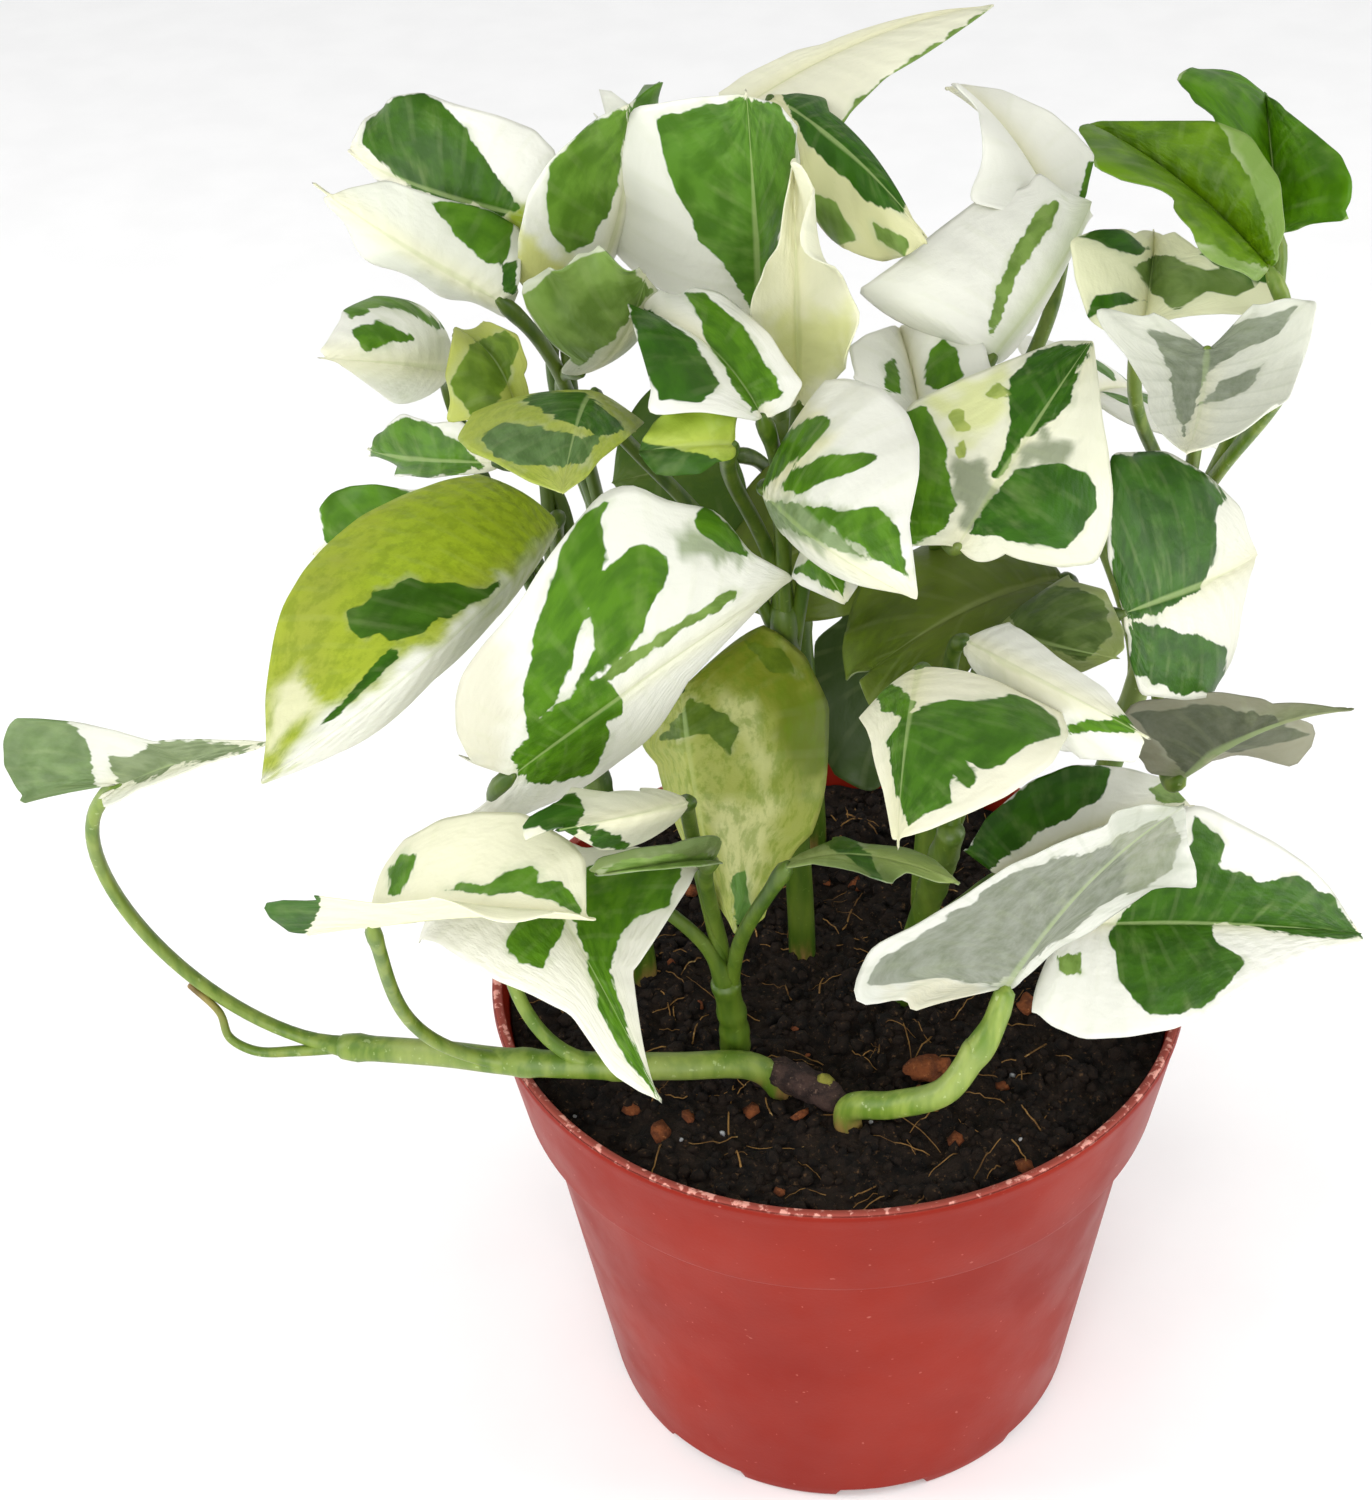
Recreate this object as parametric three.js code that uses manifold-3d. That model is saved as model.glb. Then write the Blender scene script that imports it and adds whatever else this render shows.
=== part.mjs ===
// A variegated pothos in its grower pot: a tapered plastic pot filled with peat, vines that stand in
// the peat with their leaf stalks, and heart-shaped leaves, one solid each.
// Millimetres, +Z up. The origin is the centre of the pot's flat base, and -Y is the front.
import * as THREE from "three";
import { mergeVertices } from "three/addons/utils/BufferGeometryUtils.js";
import Module from "manifold-3d";

const wasm = await Module();
wasm.setup();

// Pot
const POT_HEIGHT = 91.5;
const RIM_RADIUS = 60;
const BAND_HEIGHT = 21;
const BAND_FOOT_RADIUS = 56.4;
const BAND_STEP = 2.8;
const BASE_RADIUS = 43.4;
const WALL = 1.8;
const FLOOR = 3.6;
const POT_SIDES = 48;
const NOTCH_COUNT = 8;
const NOTCH_WIDTH = 16;
const NOTCH_DEPTH = 5;
const NOTCH_HEIGHT = 2;
const NOTCH_TURN = 10; // degrees, sets one notch at the front, to the right

// Peat
const PEAT_TOP = 86;
const PEAT_RELIEF = 0.9;
const PEAT_RINGS = 5;
const PEAT_SIDES = 30;

// Vines
const STEM_RADIUS = 2.4;
const STALK_RADIUS = 1.15;
const SHOOT_RADIUS = 1;
const HOLE_BOTTOM = 75;
const STEM_SIDES = 6;
const STALK_SIDES = 5;
const STALK_STEPS = 5;

// Leaves
const BLADE_THICKNESS = 0.8;
const BLADE_ROWS = 7;
const BLADE_COLUMNS = 3; // on each side of the midrib
const STALK_GAP = 0.8; // from the end of a stalk's axis to the base of its blade

const CLEARANCE = 0.35;

// One entry for each vine: the points its stem runs through, the points of a thin side shoot if it
// has one, and its leaves. A leaf has the base of its blade, and from there the way to its tip and to
// the widest point of its left and right halves.
// at: how far up the stem the stalk leaves, from 0 to 1. gap: where it ends further off its blade.
// from: the way back along the stalk, where it doesn't come from behind the blade and a little beneath.
// bow: how far the midrib arches towards the upper face. sweep: how far it bends to the left.
// curl: how far each half bends round, in radians, edges down. wave: how far its edge waves.
// lobes: how far the lobes reach back past the stalk. taper: how much narrower it gets towards the tip.
const VINES = {
  back_left: {
    stem: [[-22, 28, 76], [-22, 28, 92], [-29, 30, 128], [-39, 34, 160]],
    leaves: [
      { at: 0.98, gap: 1.8, base: [-46, 32, 217], tip: [-32, 24, 1], left: [-16, 21, -11],
        right: [-15, 22, 11], from: [2, 10, -2] },
      { at: 0.85, gap: 1.9, base: [-51, 22, 208], tip: [-30, 16, 13], left: [-5, 6, -4],
        right: [-9, 15, 12], from: [8, 4, -10] },
      { at: 0.92, base: [-40, 36, 200], tip: [10, -7, 36], left: [-6, -10, 21], right: [6, 15, 10] },
      { at: 0.75, base: [-39, 22, 195], tip: [12, -14, 24], left: [-5, -10, 17], right: [6, 10, 0] },
    ],
  },
  left: {
    stem: [[-34, 2, 76], [-34, 2, 92], [-38, 2, 120], [-43, 3, 152]],
    leaves: [
      { at: 0.98, gap: 1.4, base: [-46, -4, 203], tip: [-12, 21, 2], left: [-9, -2, 6],
        right: [-2, 16, 2], from: [4, 12, -10] },
      { at: 0.9, gap: 1.4, base: [-59, 18, 198], tip: [-13, -34, 21], left: [-9, 0, -6],
        right: [-10, 5, 10], curl: [1.2, 2.2] },
      { at: 0.8, gap: 1.4, base: [-52, 7, 188], tip: [-24, 22, -10], left: [-13, 15, -11],
        right: [-13, 18, 0] },
      { at: 0.7, base: [-58, 7, 178], tip: [-24, -2, -5], left: [-11, -3, -12], right: [-12, 1, 6] },
      { at: 0.86, gap: 1.4, base: [-41, -8, 186], tip: [-35, -60, -2], left: [-17, -4, -18],
        right: [-27, -4, 7], bow: 5 },
    ],
  },
  back: {
    stem: [[-4, 38, 76], [-4, 38, 92], [-6, 39, 135], [-8, 40, 176]],
    leaves: [
      { at: 0.9, gap: 1.4, base: [-11, 33, 196], tip: [-1, -10, 45], left: [-21, 1, 25], right: [6, 5, 25] },
      { at: 0.98, gap: 1.8, base: [-9, 48, 229], tip: [23, -24, -12], left: [12, 3, -6],
        right: [7, -15, -12], from: [0, 1, -12] },
      { at: 0.95, gap: 1.3, base: [-14, 58, 223], tip: [42, 29, 5], left: [18, 22, 3], right: [19, -4, 1] },
      { at: 0.7, base: [8, 27, 166], tip: [-27, -4, -13], left: [-5, -9, -15], right: [-13, 7, 8] },
      { at: 0.6, base: [-16, 30, 175], tip: [-20, -3, -3], left: [-10, -9, -13], right: [-10, 7, 11] },
    ],
  },
  centre: {
    stem: [[-6, 8, 76], [-6, 8, 92], [-7, 8, 125], [-8, 8, 160]],
    leaves: [
      { at: 0.98, base: [-5, 23, 189], tip: [0, -11, 45], left: [-6, -12, 22],
        right: [6, -12, 22], curl: [-0.8, -0.8] },
      { at: 0.9, gap: 1.2, base: [-10, -10, 205], tip: [-17, 18, 7], left: [-16, -5, 10],
        right: [-3, 19, 6], from: [3, 6, -12] },
      { at: 0.8, gap: 1.2, base: [-34, -9, 209], tip: [-1, -41, 8], left: [7, 5, -7], right: [-20, -6, -3] },
      { at: 0.95, gap: 1.5, base: [-14, -16, 204], tip: [-13, -5, 2], left: [2, -3, -5],
        right: [0, 3, 4], from: [-3, 8, -9] },
      { at: 0.76, gap: 1.2, base: [-10, -14, 195], tip: [21, -38, 6], left: [13, 7, 13],
        right: [5, 5, -14], lobes: [0.6, 0.6] },
      { at: 0.7, base: [-4, 0, 177], tip: [6, -15, -1], left: [9, -1, -2], right: [-2, 0, -6] },
      { at: 0.6, gap: 1.2, base: [-24, -2, 151], tip: [8, -24, -30], left: [20, 6, -12],
        right: [-8, 9, -18] },
    ],
  },
  middle_right: {
    stem: [[16, 20, 76], [16, 20, 92], [18, 22, 125], [19, 24, 158]],
    leaves: [
      { at: 0.98, base: [37, 45, 207], tip: [-17, 29, 12], left: [-12, -1, 12], right: [4, 19, 7] },
      { at: 0.9, gap: 1.4, base: [25, 16, 200], tip: [16, 24, 14], left: [-20, 9, 7], right: [11, 28, 0] },
      { at: 0.8, base: [14, 7, 192], tip: [-3, 26, 4], left: [-11, 5, 11], right: [5, 3, 7], bow: 1 },
      { at: 0.6, base: [8, 47, 138], tip: [3, -2, -38], left: [-15, -2, -12], right: [16, -3, -12] },
      { at: 0.9, gap: 1.5, base: [18, -22, 190], tip: [21, 33, 15], left: [-7, 25, 7],
        right: [23, 14, -5], from: [-2, 14, -10] },
      { at: 0.7, gap: 1.4, base: [36, 6, 166], tip: [-30, -20, -3], left: [-13, -15, -3],
        right: [-15, 6, 0] },
    ],
  },
  back_right: {
    stem: [[44, 28, 76], [44, 28, 92], [52, 32, 122], [58, 36, 150]],
    leaves: [
      { at: 0.98, base: [64, 10, 217], tip: [-24, 38, 6], left: [-13, -3, 8], right: [-8, 24, 13] },
      { at: 0.9, base: [69, 32, 212], tip: [1, 31, 12], left: [-13, 17, 16], right: [8, -6, 11] },
      { at: 0.8, base: [55, 2, 208], tip: [-7, -33, 2], left: [-16, 6, 2],
        right: [15, 1, 6], from: [1, 8, -8] },
      { at: 0.75, base: [57, 1, 130], tip: [22, -17, 26], left: [10, 4, 0], right: [3, -5, 18] },
      { at: 0.6, base: [44, 60, 168], tip: [16, 34, -22], left: [-8, 26, -4], right: [24, 2, -14] },
      { at: 0.92, base: [47, 15, 203], tip: [4, 25, 6], left: [-12, 2, 11],
        right: [9, -1, 7], from: [-2, 2, -12] },
    ],
  },
  front_right: {
    stem: [[12, -4, 76], [12, -4, 92], [14, -14, 112], [18, -25, 140]],
    leaves: [
      { at: 0.9, gap: 1.4, base: [25, -15, 171], tip: [16, -17, 6], left: [12, 7, 4],
        right: [10, 0, -10], from: [-4, 1, -8] },
      { at: 0.85, base: [44, -10, 170], tip: [26, 36, -13], left: [9, 31, 10],
        right: [18, 16, -24], from: [-12, 5, -5] },
      { at: 0.8, gap: 1.2, base: [19, -30, 179], tip: [24, -24, 0], left: [14, 5, -3],
        right: [12, -8, -13] },
      { at: 0.74, gap: 1.2, base: [12, -41, 182], tip: [-4, -40, 0], left: [19, -6, -5],
        right: [-9, 6, -10], lobes: [0.5, 0.5] },
      { at: 0.4, base: [27, -7, 116], tip: [34, 17, 1], left: [11, 13, 13], right: [14, -5, 8] },
      { at: 0.35, base: [36, -24, 120], tip: [52, 18, -18], left: [22, 22, 8], right: [9, -15, -8] },
    ],
  },
  front: {
    stem: [[-17, -22, 76], [-17, -22, 86], [-17, -22, 96], [-18, -24, 108]],
    leaves: [
      { at: 0.98, gap: 1.8, base: [-46, -45, 167], tip: [40, 35, 10], left: [12, 20, 36],
        right: [16, 28, -16], sweep: 4, lobes: [0.34, 0.34], from: [-12, 6, -12] },
      { at: 0.5, base: [-18, -44, 150], tip: [-15, -21, 15], left: [-5, -17, 10], right: [2, 3, 9] },
      { at: 0.6, gap: 1.7, base: [-7, -40, 146], tip: [24, -20, 13], left: [10, 4, -1],
        right: [13, -16, 6], lobes: [1.2, 0.3] },
      { at: 0.75, gap: 1.4, base: [-21, -44, 161], tip: [-17, -20, 11], left: [-8, -1, -8],
        right: [-8, 6, -1] },
    ],
  },
  low_right: {
    stem: [[2, -35, 76], [2, -35, 83], [2, -35, 90], [9, -40, 96], [17, -43, 102], [22, -42, 110]],
    leaves: [
      { at: 0.99, base: [26, -40, 121], tip: [24, -4, 39], left: [17, 8, 6], right: [-15, -5, 23] },
    ],
  },
  trailing: {
    stem: [[-10, -26, 76], [-10, -26, 87], [-14, -26.5, 91.5], [-26, -29, 94], [-36, -31, 96],
      [-53, -31, 97], [-65, -27, 95], [-83, -22, 92]],
    shoot: [[-82, -22, 92], [-91, -22, 91], [-98, -22, 91], [-102, -22, 94], [-103, -22, 100],
      [-107, -22, 106]],
    leaves: [
      { at: 0.45, base: [-46, -43, 151], tip: [22, -41, -11], left: [30, 5, -8],
        right: [-21, -8, -11], taper: 0.75 },
      { at: 0.62, base: [-67, -56, 148], tip: [34, -16, 15], left: [11, 12, 10],
        right: [-1, -3, 6], bow: 1.5, lobes: [0.3, 1.4], from: [0, 6, -12] },
      { at: 0.97, gap: 2.1, base: [-106, -36, 159], tip: [28, -14, 18], left: [-9, -8, -5],
        right: [-5, -9, 17], lobes: [1.2, 1.2], from: [-21, 6, -14] },
    ],
  },
};

const FINISH = {
  pot: new THREE.MeshStandardMaterial({ name: "pot_plastic", color: 0xb5493c, roughness: 0.45 }),
  peat: new THREE.MeshStandardMaterial({ name: "peat", color: 0x2b1d15, roughness: 1 }),
  stem: new THREE.MeshStandardMaterial({ name: "stem_green", color: 0x7a9a45, roughness: 0.5 }),
  leaf: new THREE.MeshStandardMaterial({ name: "leaf", color: 0xb9c9a0, roughness: 0.4 }),
};

const plant = new THREE.Group();

function addPiece(name, geometry, material) {
  const piece = new THREE.Mesh(geometry, material);
  piece.name = name;
  plant.add(piece);
}

// Joining and cutting: three.js geometry to a solid and back.
function toSolid(geometry) {
  const bare = geometry.clone();
  bare.deleteAttribute("normal");
  bare.deleteAttribute("uv");
  const welded = mergeVertices(bare, 1e-4);
  const vertProperties = new Float32Array(welded.attributes.position.array);
  const triVerts = new Uint32Array(welded.index.array);
  return new wasm.Manifold(new wasm.Mesh({ numProp: 3, vertProperties, triVerts }));
}

function toGeometry(solid) {
  const mesh = solid.getMesh();
  const geometry = new THREE.BufferGeometry();
  geometry.setAttribute("position", new THREE.BufferAttribute(new Float32Array(mesh.vertProperties), 3));
  geometry.setIndex(new THREE.BufferAttribute(new Uint32Array(mesh.triVerts), 1));
  geometry.computeVertexNormals();
  return geometry;
}

// Pot: one moulding turned from its profile, a tapered body under a wider band that ends in the rim.
// Its base is flat, with low notches round the edge that let water out.
function bodyRadius(z) {
  const bandFoot = POT_HEIGHT - BAND_HEIGHT;
  if (z >= bandFoot) {
    return THREE.MathUtils.mapLinear(z, bandFoot, POT_HEIGHT, BAND_FOOT_RADIUS, RIM_RADIUS);
  }
  return THREE.MathUtils.mapLinear(z, 0, bandFoot, BASE_RADIUS, BAND_FOOT_RADIUS - BAND_STEP);
}

function innerRadius(z) {
  const bandFoot = POT_HEIGHT - BAND_HEIGHT;
  if (z >= bandFoot + 2) {
    return bodyRadius(z) - WALL;
  }
  return Math.min(bodyRadius(z) - WALL, bodyRadius(bandFoot - 1) - WALL);
}

function makePot() {
  const bandFoot = POT_HEIGHT - BAND_HEIGHT;
  const profile = [
    [0, 0],
    [BASE_RADIUS - 0.8, 0],
    [bodyRadius(0.8), 0.8],
    [bodyRadius(bandFoot - 1), bandFoot - 1],
    [BAND_FOOT_RADIUS, bandFoot],
    [RIM_RADIUS, POT_HEIGHT - 1],
    [RIM_RADIUS - 0.5, POT_HEIGHT],
    [RIM_RADIUS - WALL, POT_HEIGHT],
    [innerRadius(bandFoot + 2), bandFoot + 2],
    [innerRadius(bandFoot - 1), bandFoot - 1],
    [innerRadius(FLOOR), FLOOR],
    [0, FLOOR],
  ].map(([r, z]) => new THREE.Vector2(r, z));
  const turned = new THREE.LatheGeometry(profile, POT_SIDES);
  turned.rotateX(Math.PI / 2);
  let pot = toSolid(turned);
  for (let i = 0; i < NOTCH_COUNT; i += 1) {
    const notch = new THREE.BoxGeometry(NOTCH_WIDTH, NOTCH_DEPTH * 2, NOTCH_HEIGHT * 2);
    notch.translate(0, -BASE_RADIUS, 0);
    notch.rotateZ(THREE.MathUtils.degToRad(NOTCH_TURN + (360 / NOTCH_COUNT) * i));
    pot = pot.subtract(toSolid(notch));
  }
  return toGeometry(pot);
}

// Peat: fills the pot to just under the rim. Its top is uneven, and each stem stands in a plain hole.
function peatTop(x, y) {
  const lumps = Math.sin(0.21 * x + 1.3) * Math.cos(0.17 * y) + 0.5 * Math.sin(0.37 * x - 0.29 * y);
  return PEAT_TOP + PEAT_RELIEF * lumps;
}

function makePeat() {
  const levels = [FLOOR, POT_HEIGHT - BAND_HEIGHT - 1, POT_HEIGHT - BAND_HEIGHT + 2, PEAT_TOP];
  const profile = [new THREE.Vector2(0, FLOOR + CLEARANCE)];
  for (const z of levels) {
    const height = z === FLOOR ? z + CLEARANCE : z;
    profile.push(new THREE.Vector2(innerRadius(height) - CLEARANCE, height));
  }
  const edge = innerRadius(PEAT_TOP) - CLEARANCE;
  for (let ring = PEAT_RINGS - 1; ring >= 0; ring -= 1) {
    profile.push(new THREE.Vector2((edge * ring) / PEAT_RINGS, PEAT_TOP));
  }
  const turned = new THREE.LatheGeometry(profile, PEAT_SIDES);
  turned.rotateX(Math.PI / 2);
  const points = turned.attributes.position;
  for (let i = 0; i < points.count; i += 1) {
    if (points.getZ(i) > PEAT_TOP - 0.01) {
      points.setZ(i, peatTop(points.getX(i), points.getY(i)));
    }
  }
  let peat = toSolid(turned);
  for (const { stem } of Object.values(VINES)) {
    const holeTop = PEAT_TOP + 10;
    const hole = new THREE.CylinderGeometry(STEM_RADIUS + 0.6, STEM_RADIUS + 0.6, holeTop - HOLE_BOTTOM, 12);
    hole.rotateX(Math.PI / 2);
    hole.translate(stem[0][0], stem[0][1], (holeTop + HOLE_BOTTOM) / 2);
    peat = peat.subtract(toSolid(hole));
  }
  return toGeometry(peat);
}

// Leaf blade: a heart-shaped sheet about a curved midrib. s runs round the edge of one half, from
// the notch at the stalk to the tip, and t runs from the midrib out to that edge.
const vector = (point) => new THREE.Vector3(...point);

function leafFrame(leaf) {
  const base = vector(leaf.base);
  const along = vector(leaf.tip);
  const length = along.length();
  const axis = along.clone().normalize();
  const half = (point) => {
    const out = vector(point);
    return out.addScaledVector(axis, -out.dot(axis));
  };
  const left = half(leaf.left);
  const right = half(leaf.right);
  const up = new THREE.Vector3().crossVectors(right.clone().sub(left), axis).normalize();
  const side = new THREE.Vector3().crossVectors(up, axis);
  const middle = base.clone().addScaledVector(along, 0.5);
  middle.addScaledVector(up, leaf.bow ?? 3).addScaledVector(side, leaf.sweep ?? 0);
  const tip = base.clone().add(along);
  const control = middle.multiplyScalar(2).addScaledVector(base, -0.5).addScaledVector(tip, -0.5);
  const midrib = new THREE.QuadraticBezierCurve3(base, control, tip);
  return { leaf, length, left, right, up, midrib };
}

function bladePoint(frame, s, t) {
  const { leaf, length, midrib, up } = frame;
  const lobes = (leaf.lobes ?? [0.3, 0.3])[t < 0 ? 0 : 1];
  const half = t < 0 ? frame.left : frame.right;
  const curl = (leaf.curl ?? [0.6, 0.6])[t < 0 ? 0 : 1];
  const reach = Math.abs(t);
  const round = Math.sin(Math.PI * s);
  const wide = 1.1 * round ** 0.85 * (1 - s ** 3) * (1 - (leaf.taper ?? 0) * s);
  const forward = (1 - Math.cos(Math.PI * s)) / 2 - lobes * round * (1 - s) ** 2;
  const rib = s ** 1.6;
  const tangent = midrib.getTangent(rib);
  const out = half.clone().addScaledVector(tangent, -half.dot(tangent)).normalize();
  const lift = new THREE.Vector3().crossVectors(out, tangent);
  lift.multiplyScalar(Math.sign(lift.dot(up)) || 1);
  const turn = curl * (reach - 0.5);
  const chord = half.length() * wide;
  const across = (chord * (Math.sin(turn) + Math.sin(curl / 2))) / (2 * Math.sin(curl / 2));
  const bulge = (chord * (Math.cos(turn) - Math.cos(curl / 2))) / (2 * Math.sin(curl / 2));
  const wave = (leaf.wave ?? 1.2) * Math.sin(9 * s + 5 * leaf.base[0]) * reach * reach * round;
  return midrib.getPoint(rib)
    .addScaledVector(tangent, (forward - rib) * length * reach)
    .addScaledVector(out, across)
    .addScaledVector(lift, bulge + wave);
}

function makeLeaf(leaf) {
  const frame = leafFrame(leaf);
  const columns = 2 * BLADE_COLUMNS + 1;
  const sheet = [bladePoint(frame, 0, 0)];
  for (let row = 1; row < BLADE_ROWS; row += 1) {
    for (let column = 0; column < columns; column += 1) {
      sheet.push(bladePoint(frame, row / BLADE_ROWS, column / BLADE_COLUMNS - 1));
    }
  }
  sheet.push(bladePoint(frame, 1, 0));
  const last = sheet.length - 1;
  const at = (row, column) => 1 + (row - 1) * columns + column;
  const faces = [];
  for (let column = 0; column < columns - 1; column += 1) {
    faces.push([0, at(1, column + 1), at(1, column)]);
    for (let row = 1; row < BLADE_ROWS - 1; row += 1) {
      faces.push([at(row, column), at(row, column + 1), at(row + 1, column + 1)]);
      faces.push([at(row, column), at(row + 1, column + 1), at(row + 1, column)]);
    }
    faces.push([at(BLADE_ROWS - 1, column), at(BLADE_ROWS - 1, column + 1), last]);
  }
  const edge = [0];
  for (let row = 1; row < BLADE_ROWS; row += 1) {
    edge.push(at(row, columns - 1));
  }
  edge.push(last);
  for (let row = BLADE_ROWS - 1; row > 0; row -= 1) {
    edge.push(at(row, 0));
  }
  return thicken(sheet, faces, edge);
}

// Gives a sheet its thickness: the same triangles on both faces, and a strip round the edge.
function thicken(sheet, faces, edge) {
  const normals = sheet.map(() => new THREE.Vector3());
  for (const [a, b, c] of faces) {
    const first = sheet[b].clone().sub(sheet[a]);
    const second = sheet[c].clone().sub(sheet[a]);
    const normal = first.cross(second);
    [a, b, c].forEach((corner) => normals[corner].add(normal));
  }
  const positions = [];
  for (const way of [0.5, -0.5]) {
    sheet.forEach((point, i) => {
      const shifted = point.clone().addScaledVector(normals[i].clone().normalize(), way * BLADE_THICKNESS);
      positions.push(shifted.x, shifted.y, shifted.z);
    });
  }
  const under = sheet.length;
  const index = [];
  for (const [a, b, c] of faces) {
    index.push(a, b, c, under + a, under + c, under + b);
  }
  edge.forEach((a, i) => {
    const b = edge[(i + 1) % edge.length];
    index.push(a, under + a, under + b, a, under + b, b);
  });
  const geometry = new THREE.BufferGeometry();
  geometry.setAttribute("position", new THREE.Float32BufferAttribute(positions, 3));
  geometry.setIndex(index);
  geometry.computeVertexNormals();
  return geometry;
}

// Vine: a round stem, with a stalk to each of its leaves that arches up to the base of the blade.
function tube(path, radius, sides, steps) {
  const section = new THREE.Shape();
  for (let i = 0; i < sides; i += 1) {
    const angle = (2 * Math.PI * i) / sides;
    const [x, y] = [radius * Math.cos(angle), radius * Math.sin(angle)];
    if (i === 0) {
      section.moveTo(x, y);
    } else {
      section.lineTo(x, y);
    }
  }
  section.closePath();
  return toSolid(new THREE.ExtrudeGeometry(section, { steps, extrudePath: path, bevelEnabled: false }));
}

function stalkPath(leaf, stemPath) {
  const frame = leafFrame(leaf);
  const arrival = frame.midrib.getTangent(0).addScaledVector(frame.up, 0.5);
  if (leaf.from) {
    arrival.copy(vector(leaf.from)).negate();
  }
  arrival.normalize();
  const end = vector(leaf.base).addScaledVector(arrival, -(leaf.gap ?? STALK_GAP));
  const start = stemPath.getPointAt(leaf.at);
  const leaving = stemPath.getTangentAt(leaf.at);
  const span = start.distanceTo(end);
  return new THREE.CubicBezierCurve3(
    start,
    start.clone().addScaledVector(leaving, 0.4 * span),
    end.clone().addScaledVector(arrival, -0.35 * span),
    end,
  );
}

function makeVine({ stem, shoot, leaves }) {
  const stemPath = new THREE.CatmullRomCurve3(stem.map(vector));
  let vine = tube(stemPath, STEM_RADIUS, STEM_SIDES, 3 * (stem.length - 1));
  if (shoot) {
    const shootPath = new THREE.CatmullRomCurve3(shoot.map(vector));
    vine = vine.add(tube(shootPath, SHOOT_RADIUS, STALK_SIDES, 2 * (shoot.length - 1)));
  }
  for (const leaf of leaves) {
    vine = vine.add(tube(stalkPath(leaf, stemPath), STALK_RADIUS, STALK_SIDES, STALK_STEPS));
  }
  return toGeometry(vine);
}

addPiece("pot", makePot(), FINISH.pot);
addPiece("peat", makePeat(), FINISH.peat);
for (const [name, vine] of Object.entries(VINES)) {
  addPiece(`vine_${name}`, makeVine(vine), FINISH.stem);
  vine.leaves.forEach((leaf, i) => addPiece(`leaf_${name}_${i + 1}`, makeLeaf(leaf), FINISH.leaf));
}

export default plant;
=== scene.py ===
"""A variegated pothos in its nursery pot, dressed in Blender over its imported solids.

Every size is in millimetres until a mesh is made, and the frame is the solids' own: the middle of the
pot's base is the origin, +Z is up and -Y is the front.
"""
import math
import random

import bmesh
import bpy
import numpy as np
from mathutils import Matrix, Vector, noise


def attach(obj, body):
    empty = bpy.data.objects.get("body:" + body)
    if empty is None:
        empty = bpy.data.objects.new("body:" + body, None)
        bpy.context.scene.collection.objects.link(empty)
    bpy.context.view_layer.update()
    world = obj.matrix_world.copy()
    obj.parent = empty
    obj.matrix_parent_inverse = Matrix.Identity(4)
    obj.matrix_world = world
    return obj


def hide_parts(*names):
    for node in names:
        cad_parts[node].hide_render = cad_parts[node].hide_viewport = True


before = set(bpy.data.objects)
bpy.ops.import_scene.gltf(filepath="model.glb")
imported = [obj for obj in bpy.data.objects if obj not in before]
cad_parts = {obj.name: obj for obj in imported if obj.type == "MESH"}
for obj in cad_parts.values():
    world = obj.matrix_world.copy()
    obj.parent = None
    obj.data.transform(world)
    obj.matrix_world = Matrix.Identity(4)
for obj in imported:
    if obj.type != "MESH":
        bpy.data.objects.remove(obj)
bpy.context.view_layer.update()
scene = bpy.context.scene


# Floor: one sheet of matt white paper that runs out of view on every side. It isn't part of the plant,
# it only takes the pot's shadow.
FLOOR_HALF = 4000
FLOOR_STEPS = 8
MM = 0.001  # a millimetre in the frame's metres


def paint(red, green, blue):
    """A colour as a screen shows it, 0 to 255, in the linear values that a finish takes."""
    shares = [value / 255 for value in (red, green, blue)]
    return (*[((c + 0.055) / 1.055) ** 2.4 if c > 0.04 else c / 12.92 for c in shares], 1.0)


class Finish:
    """A material laid out step by step: each step is one node, its inputs set or wired by name."""

    def __init__(self, name):
        self.material = bpy.data.materials.new(name)
        self.material.use_nodes = True
        self.tree = self.material.node_tree
        self.tree.nodes.clear()

    def step(self, kind, inputs=None, out=0, **settings):
        node = self.tree.nodes.new("ShaderNode" + kind)
        for key, value in settings.items():
            setattr(node, key, value)
        for key, value in (inputs or {}).items():
            if isinstance(value, bpy.types.NodeSocket):
                self.tree.links.new(value, node.inputs[key])
            else:
                node.inputs[key].default_value = value
        return node.outputs[out]

    def sum(self, a, b, operation="ADD"):
        """Two values put together, added up unless another operation is named."""
        return self.step("Math", {0: a, 1: b}, operation=operation)

    def ease(self, value, low, high, start=0.0, end=1.0):
        """From start to end, smoothly, as the value goes from low to high."""
        inputs = {"Value": value, "From Min": low, "From Max": high, "To Min": start, "To Max": end}
        return self.step("MapRange", inputs, interpolation_type="SMOOTHSTEP")

    def blend(self, share, first, second, kind="MIX"):
        return self.step("MixRGB", {"Fac": share, "Color1": first, "Color2": second}, blend_type=kind)

    def grain(self, where, scale, detail=2.0, roughness=0.5):
        inputs = {"Vector": where, "Scale": scale, "Detail": detail, "Roughness": roughness}
        return self.step("TexNoise", inputs)

    def relief(self, height, depth, strength=1.0, over=None):
        """A fine relief, its depth in metres. over is the relief that it lies on."""
        inputs = {"Height": height, "Distance": depth, "Strength": strength}
        if over is not None:
            inputs["Normal"] = over
        return self.step("Bump", inputs)

    def done(self, surface):
        end = self.tree.nodes.new("ShaderNodeOutputMaterial")
        self.tree.links.new(surface, end.inputs["Surface"])
        return self.material


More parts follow.
